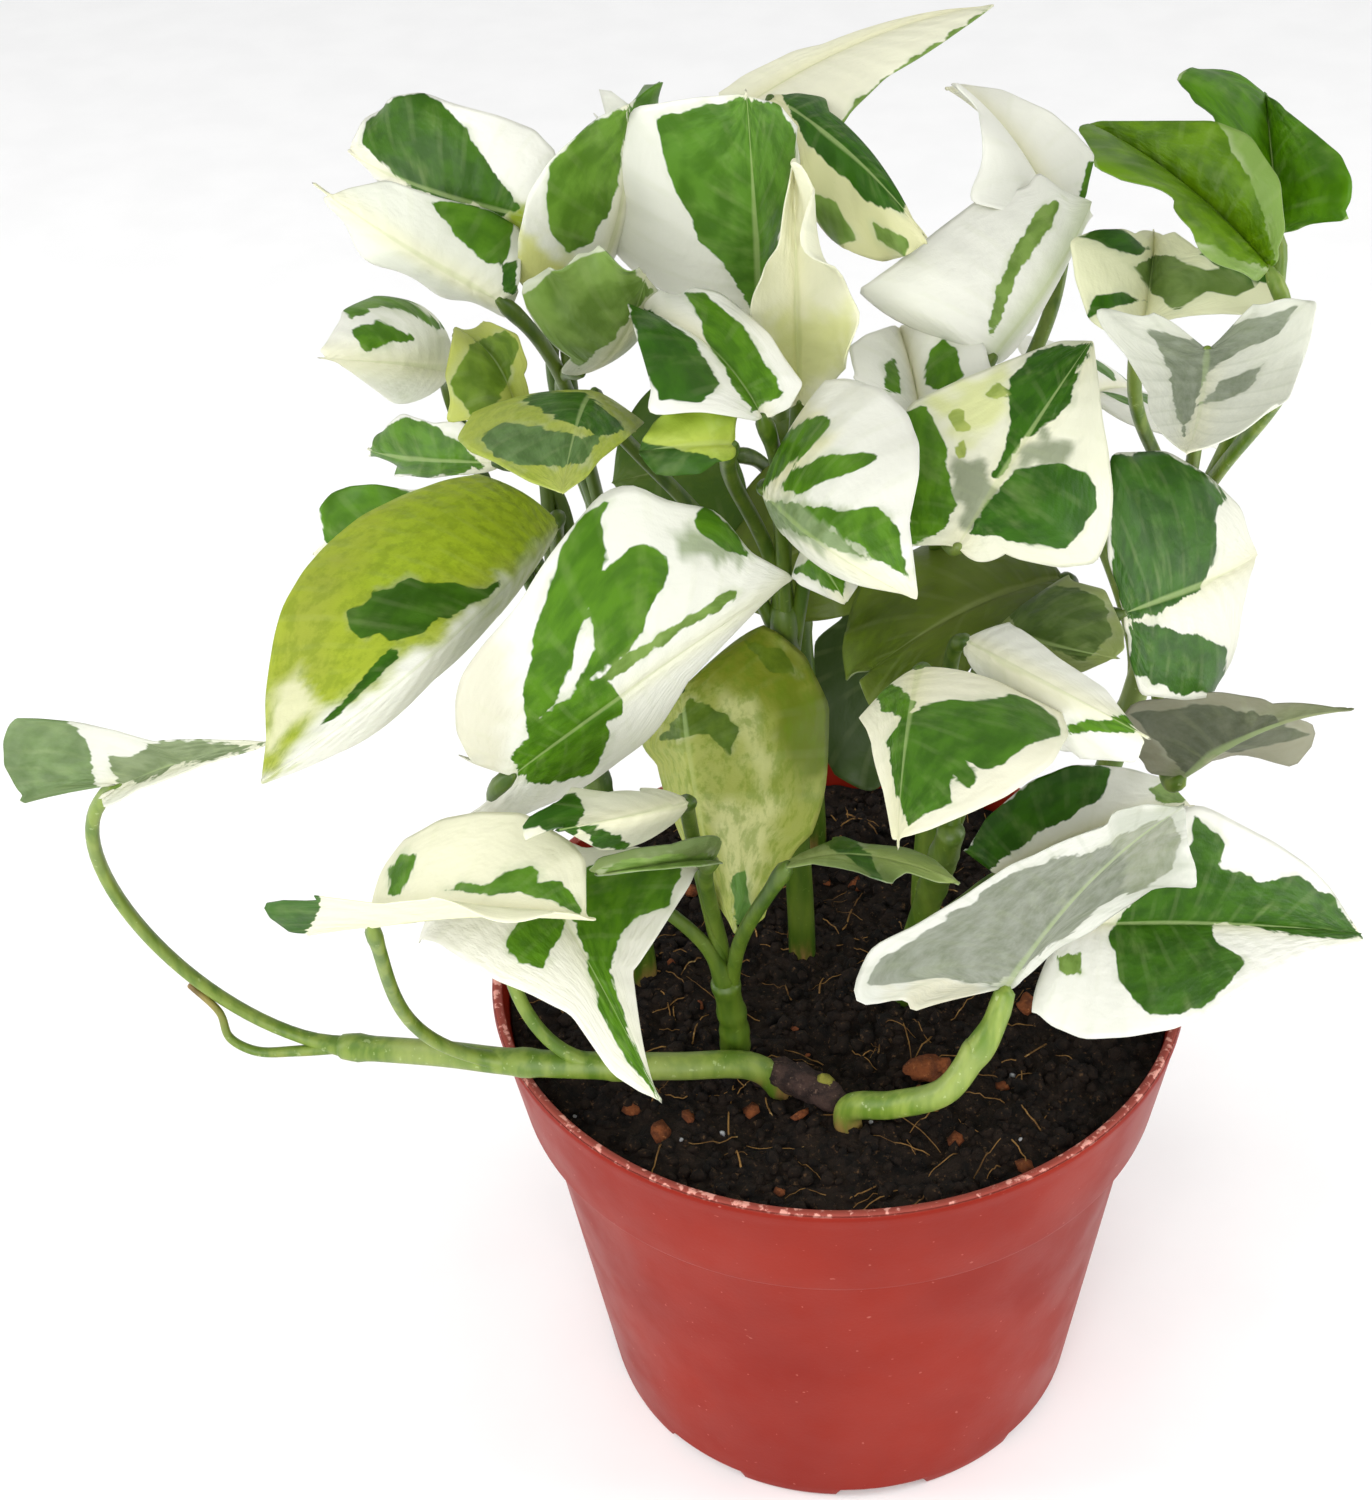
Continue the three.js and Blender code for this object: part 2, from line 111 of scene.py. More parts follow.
def shape_up(name, points, faces, finish, smooth=True):
    """A mesh object from points in millimetres, in its place in the frame."""
    mesh = bpy.data.meshes.new(name)
    mesh.from_pydata((np.asarray(points) * MM).tolist(), [], faces)
    mesh.polygons.foreach_set("use_smooth", [smooth] * len(mesh.polygons))
    mesh.materials.append(finish)
    mesh.update()
    piece = bpy.data.objects.new(name, mesh)
    scene.collection.objects.link(piece)
    return piece


def floor_paper():
    f = Finish("floor_paper")
    where = f.step("TexCoord", out=3)
    fibre = f.grain(where, 40.0, 3.0)
    tone = f.blend(f.ease(fibre, 0.3, 0.7), paint(250, 250, 250), paint(253, 253, 253))
    skin = f.step("BsdfPrincipled", {"Base Color": tone, "Roughness": 0.9, "Specular IOR Level": 0.1})
    return f.done(skin)


lines = np.linspace(-FLOOR_HALF, FLOOR_HALF, FLOOR_STEPS + 1)
grid = [(x, y, 0) for y in lines for x in lines]
row = FLOOR_STEPS + 1
squares = [(j * row + i, j * row + i + 1, (j + 1) * row + i + 1, (j + 1) * row + i)
           for j in range(FLOOR_STEPS) for i in range(FLOOR_STEPS)]
floor = shape_up("floor", grid, squares, floor_paper())


# Light: a white room with a wide soft light overhead, a tall soft light on each side, which draw the
# two pale bands down the pot, and a wide one in front. Screen values are shown as they are.
ROOM_LIGHT = 0.62
OVERHEAD_LIGHT = 0.55
OVERHEAD_SPREAD = 45  # degrees
OVERHEAD_LEAN = (36, -14, 0)  # degrees
LIGHT_AIM = (0, 0, 100)
SOFT_LIGHTS = {  # place, size, watts
    "left": ((-720, -60, 300), (320, 900), 3.8),
    "right": ((760, -20, 300), (320, 900), 4.2),
    "front": ((-60, -1000, 330), (900, 900), 9.0)}

scene.view_settings.view_transform = "Standard"
room = bpy.data.worlds.new("white_room")
room.use_nodes = True
room.node_tree.nodes["Background"].inputs["Color"].default_value = paint(255, 255, 255)
room.node_tree.nodes["Background"].inputs["Strength"].default_value = ROOM_LIGHT
scene.world = room

overhead = bpy.data.lights.new("overhead", "SUN")
overhead.energy = OVERHEAD_LIGHT
overhead.angle = math.radians(OVERHEAD_SPREAD)
lamp = bpy.data.objects.new("overhead", overhead)
lamp.rotation_euler = [math.radians(angle) for angle in OVERHEAD_LEAN]
scene.collection.objects.link(lamp)
for side, (place, size, watts) in SOFT_LIGHTS.items():
    panel = bpy.data.lights.new("soft_" + side, "AREA")
    panel.shape = "RECTANGLE"
    panel.size, panel.size_y = (length * MM for length in size)
    panel.energy = watts
    lamp = bpy.data.objects.new("soft_" + side, panel)
    lamp.location = Vector(place) * MM
    lamp.rotation_euler = (Vector(LIGHT_AIM) * MM - lamp.location).to_track_quat("-Z", "Y").to_euler()
    scene.collection.objects.link(lamp)


# Camera: a 62 mm lens on a full frame, 0.39 m up and 0.34 m in front, looking down on the plant and
# leaning a little to one side, as the photograph was taken.
PHOTO_WIDE, PHOTO_HIGH = 1372, 1500  # pixels
SENSOR = 36  # along the photograph's height
LENS = 62
CAMERA_PLACE = (0, -337, 391)
CAMERA_TURN, CAMERA_TILT, CAMERA_ROLL = 4.1, -36.9, 3.0  # degrees
CLEAR_SIGHT = 20  # metres

camera = bpy.data.objects.new("camera", bpy.data.cameras.new("camera"))
camera.data.sensor_width = SENSOR
camera.data.lens = LENS
camera.data.clip_end = CLEAR_SIGHT
aim = (Matrix.Rotation(math.radians(CAMERA_TURN), 3, "Z") @ Matrix.Rotation(math.radians(CAMERA_TILT), 3, "X")
       @ Matrix.Rotation(math.radians(CAMERA_ROLL), 3, "Y") @ Matrix.Rotation(math.radians(90), 3, "X"))
camera.matrix_world = Matrix.Translation(Vector(CAMERA_PLACE) * MM) @ aim.to_4x4()
scene.collection.objects.link(camera)
scene.camera = camera

PIXEL_FOCUS = LENS / SENSOR * PHOTO_HIGH
PIXELS_PER_MM = 6.9  # at the plant


def in_photo(points):
    """Where points of the plant lie in the photograph, in its pixels."""
    local = (np.asarray(points) - np.array(CAMERA_PLACE)) @ np.array(aim)
    depth = -local[:, 2]
    return np.stack([PHOTO_WIDE / 2 + PIXEL_FOCUS * local[:, 0] / depth,
                     PHOTO_HIGH / 2 - PIXEL_FOCUS * local[:, 1] / depth], axis=1)


# Pot: one thin moulding of red plastic, a tapered body under a wider band that ends in a rounded rim.
# Its flat base has low notches round the edge that let water out.
POT_HEIGHT = 91.5
RIM_RADIUS = 60
BAND_FOOT_RADIUS = 56.4
BAND_FOOT = 70.5
BASE_RADIUS = 43.4
BAND_STEP = 2.8
WALL = 1.8
POT_FLOOR = 3.6
POT_SIDES = 288
NOTCH_COUNT = 8
NOTCH_WIDTH = 16
NOTCH_DEPTH = 5
NOTCH_HEIGHT = 2
NOTCH_TURN = 10  # degrees
POT_RED = paint(122, 24, 9)
POT_PALE_RED = paint(133, 31, 14)
WEAR_AND_HIGHLIGHT_PINK = paint(236, 170, 156)
# Heights of the rim's pale top: a painted highlight, with chips of wear in it.
RIM_PALE_FROM, RIM_PALE_FULLY = POT_HEIGHT - 0.7, POT_HEIGHT - 0.2


def wall_radius(z):
    """The outside of the pot at a height."""
    if z >= BAND_FOOT:
        return BAND_FOOT_RADIUS + (RIM_RADIUS - BAND_FOOT_RADIUS) * (z - BAND_FOOT) / (POT_HEIGHT - BAND_FOOT)
    return BASE_RADIUS + (BAND_FOOT_RADIUS - BAND_STEP - BASE_RADIUS) * z / BAND_FOOT


def inner_radius(z):
    """The inside of the pot at a height."""
    if z >= BAND_FOOT + 2:
        return wall_radius(z) - WALL
    return min(wall_radius(z), wall_radius(BAND_FOOT - 1)) - WALL


def round_off(profile, steps=5):
    """A profile of (radius, height, rounding) with each corner bent round over its rounding."""
    points = []
    for before, corner, after in zip(profile[:-2], profile[1:-1], profile[2:]):
        here = np.array(corner[:2], float)
        if not corner[2]:
            points.append(here)
            continue
        back, on = np.array(before[:2]) - here, np.array(after[:2]) - here
        start = here + back / np.linalg.norm(back) * corner[2]
        end = here + on / np.linalg.norm(on) * corner[2]
        for k in range(steps + 1):
            u = k / steps
            points.append((1 - u) ** 2 * start + 2 * u * (1 - u) * here + u * u * end)
    return [np.array(profile[0][:2], float), *points, np.array(profile[-1][:2], float)]


def turn_profile(profile, sides):
    """Points and faces of a profile turned about Z. It starts and ends on the axis."""
    around = np.arange(sides) * 2 * math.pi / sides
    points = [(0.0, 0.0, profile[0][1])]
    for radius, z in profile[1:-1]:
        points += [(radius * math.cos(a), radius * math.sin(a), z) for a in around]
    points.append((0.0, 0.0, profile[-1][1]))
    last, rings = len(points) - 1, len(profile) - 2
    faces = []
    for i in range(sides):
        j = (i + 1) % sides
        faces.append((0, 1 + j, 1 + i))
        for k in range(rings - 1):
            low, high = 1 + k * sides, 1 + (k + 1) * sides
            faces.append((low + i, low + j, high + j, high + i))
        faces.append((1 + (rings - 1) * sides + i, 1 + (rings - 1) * sides + j, last))
    return np.array(points), faces


def pot_plastic():
    f = Finish("pot_plastic")
    where = f.step("TexCoord", out=3)
    cloud = f.grain(where, 26.0, 3.0)
    red = f.blend(f.ease(cloud, 0.35, 0.7), POT_RED, POT_PALE_RED)
    wear = f.grain(where, 620.0, 3.0, 0.6)
    high = f.step("SeparateXYZ", {0: where}, out=2)
    # Top of the rim: a thin pale pink band all round is a painted highlight, and the paler chips in it are
    # wear.
    at_rim = f.ease(high, RIM_PALE_FROM * MM, RIM_PALE_FULLY * MM)
    chips_and_highlight = f.sum(f.ease(wear, 0.52, 0.62, 0.12, 0.8), at_rim, "MULTIPLY")
    dust = f.sum(f.ease(f.grain(where, 900.0, 1.0), 0.75, 0.8), 0.2, "MULTIPLY")
    red = f.blend(f.sum(chips_and_highlight, dust, "MAXIMUM"), red, WEAR_AND_HIGHLIGHT_PINK)
    gloss = f.ease(f.grain(where, 90.0, 4.0), 0.3, 0.75, 0.36, 0.50)
    bump = f.relief(f.grain(where, 1500.0, 2.0), 0.00006, 0.35)
    bump = f.relief(f.grain(where, 22.0, 1.0), 0.0012, 0.25, bump)
    skin = f.step("BsdfPrincipled", {"Base Color": red, "Roughness": gloss, "Normal": bump,
                                     "Specular IOR Level": 0.12})
    return f.done(skin)


profile = round_off([
    (0, 0, 0), (BASE_RADIUS - NOTCH_DEPTH - 0.3, 0, 0), (BASE_RADIUS - NOTCH_DEPTH, 0, 0),
    (BASE_RADIUS - 0.2, 0, 1.0),
    *[(wall_radius(z), z, 0) for z in (NOTCH_HEIGHT + 0.4, NOTCH_HEIGHT + 0.8, NOTCH_HEIGHT + 1.4, 35)],
    (wall_radius(BAND_FOOT - 1), BAND_FOOT - 1.2, 0.9),
    (BAND_FOOT_RADIUS - 0.1, BAND_FOOT - 0.4, 0.9), (wall_radius(80), 80, 0), (wall_radius(88), 88, 0.8),
    (RIM_RADIUS, POT_HEIGHT - 0.9, 0.7), (RIM_RADIUS - 0.6, POT_HEIGHT, 0.6),
    (RIM_RADIUS - WALL - 0.1, POT_HEIGHT - 0.3, 0.4), (inner_radius(86), 86, 0),
    (inner_radius(BAND_FOOT + 2), BAND_FOOT + 2, 0.8), (inner_radius(BAND_FOOT - 1), BAND_FOOT - 1, 0.8),
    (inner_radius(POT_FLOOR), POT_FLOOR, 0.6), (0, POT_FLOOR, 0)])
points, faces = turn_profile(profile, POT_SIDES)
for i in range(NOTCH_COUNT):
    middle = math.radians(NOTCH_TURN + 360 / NOTCH_COUNT * i - 90)
    along = points[:, 0] * math.cos(middle) + points[:, 1] * math.sin(middle)
    across = -points[:, 0] * math.sin(middle) + points[:, 1] * math.cos(middle)
    cut = (along > BASE_RADIUS - NOTCH_DEPTH - 0.1) & (np.abs(across) < NOTCH_WIDTH / 2)
    points[cut, 2] = np.maximum(points[cut, 2], NOTCH_HEIGHT)
pot = shape_up("pot_shell", points, faces, pot_plastic())
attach(pot, "root")
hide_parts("pot")


# Peat: near-black potting peat that fills the pot to just under its rim, loose on top, with crumbs,
# brown fibres, bits of bark and a few white grains worked into it.
PEAT_TOP = 86
PEAT_RELIEF = 0.9
PEAT_RINGS = 90
PEAT_SIDES = 300
CRUMBS = 2300
FIBRES = 170
FIBRE_STEPS = 9
BARK_BITS = 34
WHITE_GRAINS = 26
EDGE_GAP = 0.35
PEAT_BLACK, PEAT_BROWN, PEAT_PALE = paint(12, 9, 7), paint(38, 28, 21), paint(96, 72, 48)
draw = random.Random(7)


def peat_top(x, y):
    """The height of the peat, its slow lumps and its loose surface."""
    slow = math.sin(0.21 * x + 1.3) * math.cos(0.17 * y) + 0.5 * math.sin(0.37 * x - 0.29 * y)
    loose = 1.1 * noise.noise((x * 0.22, y * 0.22, 3.0)) + 0.8 * noise.noise((x * 0.6, y * 0.6, 8.0))
    return PEAT_TOP + PEAT_RELIEF * slow + loose + 0.5 * noise.noise((x * 1.5, y * 1.5, 5.0))


def peat_stuff(name, dark, brown, pale, scale, roughness=0.95):
    f = Finish(name)
    where = f.step("TexCoord", out=3)
    tone = f.blend(f.ease(f.grain(where, scale, 5.0, 0.7), 0.35, 0.62), dark, brown)
    tone = f.blend(f.ease(f.grain(where, scale * 3.1, 3.0, 0.7), 0.58, 0.74), tone, pale)
    bump = f.relief(f.grain(where, scale * 2.2, 6.0, 0.7), 0.0011, 0.9)
    skin = f.step("BsdfPrincipled", {"Base Color": tone, "Roughness": roughness, "Normal": bump,
                                     "Specular IOR Level": 0.25})
    return f.done(skin)


rim = inner_radius(PEAT_TOP) - EDGE_GAP
profile = [(0, POT_FLOOR + EDGE_GAP), (inner_radius(POT_FLOOR + 1) - EDGE_GAP, POT_FLOOR + EDGE_GAP)]
profile += [(inner_radius(z) - EDGE_GAP, z) for z in (BAND_FOOT - 1, BAND_FOOT + 2, PEAT_TOP - 3)]
profile += [(rim * (PEAT_RINGS - k) / PEAT_RINGS, PEAT_TOP) for k in range(PEAT_RINGS + 1)]
points, faces = turn_profile(profile, PEAT_SIDES)
for point in points:
    if point[2] >= PEAT_TOP - 0.01:
        point[2] = peat_top(point[0], point[1])
peat_finish = peat_stuff("peat", PEAT_BLACK, PEAT_BROWN, PEAT_PALE, 330.0)
peat = shape_up("peat_bed", points, faces, peat_finish)
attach(peat, "root")
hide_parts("peat")


def round_ball(detail):
    """The points and faces of a ball one millimetre in radius."""
    ball = bmesh.new()
    bmesh.ops.create_icosphere(ball, subdivisions=detail, radius=1.0)
    ball.verts.index_update()
    points = np.array([v.co[:] for v in ball.verts])
    faces = [tuple(v.index for v in face.verts) for face in ball.faces]
    ball.free()
    return points, faces


def gather(parts):
    """Several lots of points and faces as one."""
    points, faces, first = [], [], 0
    for some, sides in parts:
        points.append(some)
        faces += [tuple(first + k for k in side) for side in sides]
        first += len(some)
    return np.concatenate(points), faces


def lump_cloud(count, size, flat, spread, sink=0.3):
    """Many rough lumps lying on the peat. sink is how much of a lump's half height it stands above it."""
    ball, sides = round_ball(1)
    lumps = []
    for _ in range(count):
        away, angle = spread * math.sqrt(draw.random()), draw.uniform(0, 2 * math.pi)
        x, y = away * math.cos(angle), away * math.sin(angle)
        stretch = np.array([draw.uniform(0.6, 1.4), draw.uniform(0.6, 1.2), flat * draw.uniform(0.7, 1.2)])
        lump = ball * (1 + 0.25 * np.array([draw.uniform(-1, 1) for _ in ball]))[:, None]
        lump = lump * stretch * draw.uniform(*size)
        turn = Matrix.Rotation(draw.uniform(0, 6.28), 3, "Z")
        turn = turn @ Matrix.Rotation(draw.uniform(-0.7, 0.7), 3, "X")
        lump = lump @ np.array(turn).T
        z = peat_top(x, y) + sink * float(np.ptp(lump[:, 2])) / 2
        lumps.append((lump + np.array([x, y, z]), sides))
    return gather(lumps)


def add_loose(name, points, faces, finish, slot="peat"):
    """A piece that lies on the peat, or sticks in it."""
    piece = shape_up(name, points, faces, finish)
    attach(piece, "root")


bark_finish = peat_stuff("bark", paint(96, 52, 30), paint(140, 78, 42), paint(178, 112, 66), 420.0, 0.85)
grain_finish = peat_stuff("white_grain", paint(170, 172, 176), paint(206, 208, 210), paint(232, 232, 230),
                          900.0)
crumbs = lump_cloud(CRUMBS, size=(0.35, 1.5), flat=0.85, spread=rim - 1.4)
add_loose("peat_crumbs", *crumbs, peat_finish)
bits = lump_cloud(BARK_BITS, size=(0.7, 1.9), flat=0.45, spread=rim - 2.5, sink=0.5)
add_loose("bark_bits", *bits, bark_finish)
grains = lump_cloud(WHITE_GRAINS, size=(0.3, 0.6), flat=0.9, spread=rim - 2, sink=0.6)
add_loose("white_grains", *grains, grain_finish)


END_OUT = 0.5  # each end of a tube, as shares of its radius there
SHOULDER_OUT, SHOULDER_WIDTH = 0.35, 0.75
GROOVE_WIDTH = 0.25


def draw_tube(path, radii, sides, groove=0.0, up=(0, 0, 1)):
    """Points and faces of a closed tube about a path, with a rounded end each way. groove presses a
    channel of that share of the radius into the side that faces up."""
    path, radii = np.asarray(path, float), np.asarray(radii, float)
    ahead = np.gradient(path, axis=0)
    ahead /= np.maximum(np.linalg.norm(ahead, axis=1), 1e-9)[:, None]
    first, last = path[0] - ahead[0] * radii[0] * END_OUT, path[-1] + ahead[-1] * radii[-1] * END_OUT
    rings = [(path[0] - ahead[0] * radii[0] * SHOULDER_OUT, ahead[0], radii[0] * SHOULDER_WIDTH)]
    rings += list(zip(path, ahead, radii))
    rings.append((path[-1] + ahead[-1] * radii[-1] * SHOULDER_OUT, ahead[-1], radii[-1] * SHOULDER_WIDTH))
    side = np.cross(ahead[0], up)
    if np.linalg.norm(side) < 0.05:
        side = np.cross(ahead[0], (0, 1, 0))
    points = [first]
    around = np.arange(sides) * 2 * math.pi / sides
    for centre, forward, radius in rings:
        side = side - forward * (side @ forward)
        side /= np.linalg.norm(side)
        top = np.cross(side, forward)
        for a in around:
            near_top = math.exp(-((1 - math.sin(a)) / GROOVE_WIDTH) ** 2)
            reach = radius * (1 - groove * near_top)
            points.append(centre + (side * math.cos(a) + top * math.sin(a)) * reach)
    points.append(last)
    faces, end = [], len(points) - 1
    for i in range(sides):
        j = (i + 1) % sides
        faces.append((0, 1 + i, 1 + j))
        for k in range(len(rings) - 1):
            low, high = 1 + k * sides, 1 + (k + 1) * sides
            faces.append((low + i, high + i, high + j, low + j))
        faces.append((end, end - sides + j, end - sides + i))
    return np.array(points), faces


def fibre():
    """One rootlet or peat fibre, lying loosely on the peat."""
    away, angle = (rim - 4) * math.sqrt(draw.random()), draw.uniform(0, 2 * math.pi)
    x, y, heading = away * math.cos(angle), away * math.sin(angle), draw.uniform(0, 2 * math.pi)
    bend, stride, lift = draw.uniform(-0.1, 0.1), draw.uniform(0.4, 1.3), draw.uniform(0.1, 1.0)
    path = []
    for k in range(FIBRE_STEPS):
        if math.hypot(x, y) > rim - 1:
            break
        path.append((x, y, peat_top(x, y) + 0.35 + lift * math.sin(math.pi * k / (FIBRE_STEPS - 1))))
        x, y = x + stride * math.cos(heading), y + stride * math.sin(heading)
        heading += bend
    if len(path) < 4:
        return None
    thick = draw.uniform(0.07, 0.2)
    return draw_tube(path, [thick * (1 - 0.5 * k / len(path)) for k in range(len(path))], 4)


fibre_finish = peat_stuff("fibre", paint(96, 68, 36), paint(160, 120, 66), paint(206, 172, 112), 160.0, 0.8)
add_loose("peat_fibres", *gather(filter(None, (fibre() for _ in range(FIBRES)))), fibre_finish)


# Old stub and bark: a dark, withered end of stem that lies by the trailing vine, a pale green bud next
# to it, and two larger pieces of orange bark in the peat.
STUB = [(-14, -24.5, 87.5), (-10, -26, 89.5), (-6, -28, 89.8), (-1, -31, 88.5), (3, -33, 87)]
STUB_RADII = [1.6, 2.6, 2.9, 2.3, 1.2]
BUD = [(-2, -29, 86.5), (-2, -29.3, 89), (-2.2, -29.6, 91.2), (-2.3, -29.8, 92.4)]
BUD_RADII = [1.7, 2.1, 1.6, 0.5]
BARK_PLACES = {(15, -24, 88.5): 3.6, (13, -30, 87.6): 2.6, (33, -8, 88): 2.4}  # place: half its length
noise.seed_set(5)  # for noise_vector, which otherwise starts from the clock


def roughen(points, amount, scale):
    """Moves each point a little, alike for points that lie close."""
    return np.array([Vector(p) + noise.noise_vector(Vector(p) * scale) * amount for p in points])


def thicken_path(path, radii, steps, sides):
    """A tube along a few points, its path and radius eased between them."""
    at = np.linspace(0, len(path) - 1, steps)
    ease = [np.interp(at, range(len(path)), np.asarray(path, float)[:, axis]) for axis in range(3)]
    return draw_tube(np.stack(ease, axis=1), np.interp(at, range(len(path)), radii), sides)


stub_finish = peat_stuff("old_stem", paint(34, 24, 22), paint(70, 52, 46), paint(112, 88, 74), 330.0, 0.7)
points, faces = thicken_path(STUB, STUB_RADII, 26, 18)
add_loose("old_stub", roughen(points, 0.7, 0.5), faces, stub_finish)
bud_finish = peat_stuff("bud", paint(122, 118, 44), paint(146, 144, 58), paint(120, 88, 40), 260.0, 0.55)
points, faces = thicken_path(BUD, BUD_RADII, 16, 16)
add_loose("bud", roughen(points, 0.25, 0.6), faces, bud_finish, slot="stem_green")
ball, sides = round_ball(3)
slabs = [(roughen(ball * (size, size * 0.75, size * 0.5) + np.array(place), 1.1, 0.55), sides)
         for place, size in BARK_PLACES.items()]
add_loose("bark_pieces", *gather(slabs), bark_finish)


# Stems: green vines, round and a little knotted where each leaf stalk leaves. A stalk clasps its stem
# with a sheath, has a shallow channel on top and swells just under its blade.
STEM_RADIUS = 2.4
STALK_RADIUS = 1.2
SHOOT_RADIUS = 1.0
STEM_STEPS, STEM_SIDES = 60, 20
STALK_STEPS, STALK_SIDES = 34, 14
CURVE_STEPS = 60
SOILED_UP_TO = PEAT_TOP + 6


def stem_skin():
    f = Finish("stem_green")
    where = f.step("TexCoord", out=3)
    age = f.step("Attribute", out=2, attribute_name="age")
    painted_shade = f.step("Attribute", out=2, attribute_name="painted_shade")
    long_grain = f.step("Mapping", {"Vector": where, "Scale": (1.0, 1.0, 0.18)})
    streak = f.grain(long_grain, 420.0, 3.0)
    green = f.blend(f.ease(streak, 0.35, 0.65), paint(92, 122, 32), paint(132, 152, 62))
    green = f.blend(f.ease(f.grain(where, 60.0, 2.0), 0.45, 0.75, 0.0, 0.6), green, paint(160, 170, 100))
    spots = f.ease(f.grain(where, 900.0, 2.0), 0.66, 0.72, 0.0, 0.4)
    green = f.blend(spots, green, paint(190, 204, 150))
    # Painted shade: each vine's stem green is darkened by that vine's own share, standing for the shade among
    # the leaves.
    green = f.blend(painted_shade, green, f.blend(1.0, green, paint(150, 166, 110), "MULTIPLY"))
    high = f.step("SeparateXYZ", {0: where}, out=2)
    soiled = f.sum(f.ease(high, SOILED_UP_TO * MM, PEAT_TOP * MM), f.ease(streak, 0.4, 0.6), "MULTIPLY")
    brown = f.blend(f.ease(streak, 0.35, 0.7), paint(92, 66, 34), paint(140, 112, 62))
    tone = f.blend(f.sum(soiled, age, "MAXIMUM"), green, brown)
    bump = f.relief(streak, 0.0004, 0.5)
    skin = f.step("BsdfPrincipled", {"Base Color": tone, "Roughness": 0.42, "Normal": bump,
                                     "Specular IOR Level": 0.4, "Subsurface Weight": 0.08,
                                     "Subsurface Radius": (0.001, 0.002, 0.0005)})
    return f.done(skin)


stem_finish = stem_skin()


def run_curve(points):
    """A centripetal Catmull-Rom curve through a stem's points, with the length run at each sample."""
    p = np.array(points, float)
    p = np.vstack([2 * p[0] - p[1], p, 2 * p[-1] - p[-2]])
    curve = []
    for a, b, c, d in zip(p[:-3], p[1:-2], p[2:-1], p[3:]):
        ta, tb, tc = (math.sqrt(np.linalg.norm(v - u)) for u, v in ((a, b), (b, c), (c, d)))
        leave = tb * ((b - a) / ta - (c - a) / (ta + tb) + (c - b) / tb)
        arrive = tb * ((c - b) / tb - (d - b) / (tb + tc) + (d - c) / tc)
        u = np.linspace(0, 1, CURVE_STEPS, endpoint=False)[:, None]
        curve.append(b + leave * u + (3 * (c - b) - 2 * leave - arrive) * u ** 2
                     + (2 * (b - c) + leave + arrive) * u ** 3)
    curve = np.vstack([*curve, p[-2]])
    run = np.concatenate([[0], np.cumsum(np.linalg.norm(np.diff(curve, axis=0), axis=1))])
    return curve, run


def along_curve(curve, run, share):
    """The point at a share of a curve's length."""
    at = np.asarray(share) * run[-1]
    return np.stack([np.interp(at, run, curve[:, axis]) for axis in range(3)], axis=-1)


def unit(v):
    return v / np.linalg.norm(v)


# Leaf blades: thin heart-shaped sheets with a sunken midrib, curled and folded as they grew, green
# only in ragged patches that follow the side veins, and greyer underneath.
BLADE_HALF = 0.25  # half its thickness, less towards the edge
EDGE_THINNING = 0.6
RIB_SINK, RIB_WIDTH = 0.3, 0.55
BLADE_ROWS = 76
BLADE_COLUMNS = 24  # on each side of the midrib, closer together towards it
fan = (np.arange(1, BLADE_COLUMNS + 1) / BLADE_COLUMNS) ** 1.2
BLADE_GRID = (np.linspace(0, 1, BLADE_ROWS + 1)[:, None],  # how far along a blade, and out to its edges
              np.concatenate([-fan[::-1], [0], fan])[None, :])
BOW, CURL, LOBE = 3, 0.6, 0.3  # of a leaf that names none
EDGE_WAVES, EDGE_WAVE_HEIGHT = 9, 1.2
FINE_WAVES, FINE_WAVE_HEIGHT = 31, 0.35
FITTING_ROUNDS = 3
FIT_LIMITS = (0.45, 1.9)  # shares of a half's own width
BARE = -6.0  # a depth outside every green patch
RIB_TINT, RIB_TINT_WIDTH = 0.55, 2.2
CREAM = (250, 250, 243)
IVORY = (242, 239, 200)
GREEN = (92, 143, 22)
DEEP = (58, 109, 8)
SOFT_GREEN = (136, 168, 82)
GREY = (158, 166, 138)
OLIVE = (154, 174, 44)
PALE_OLIVE = (200, 208, 108)


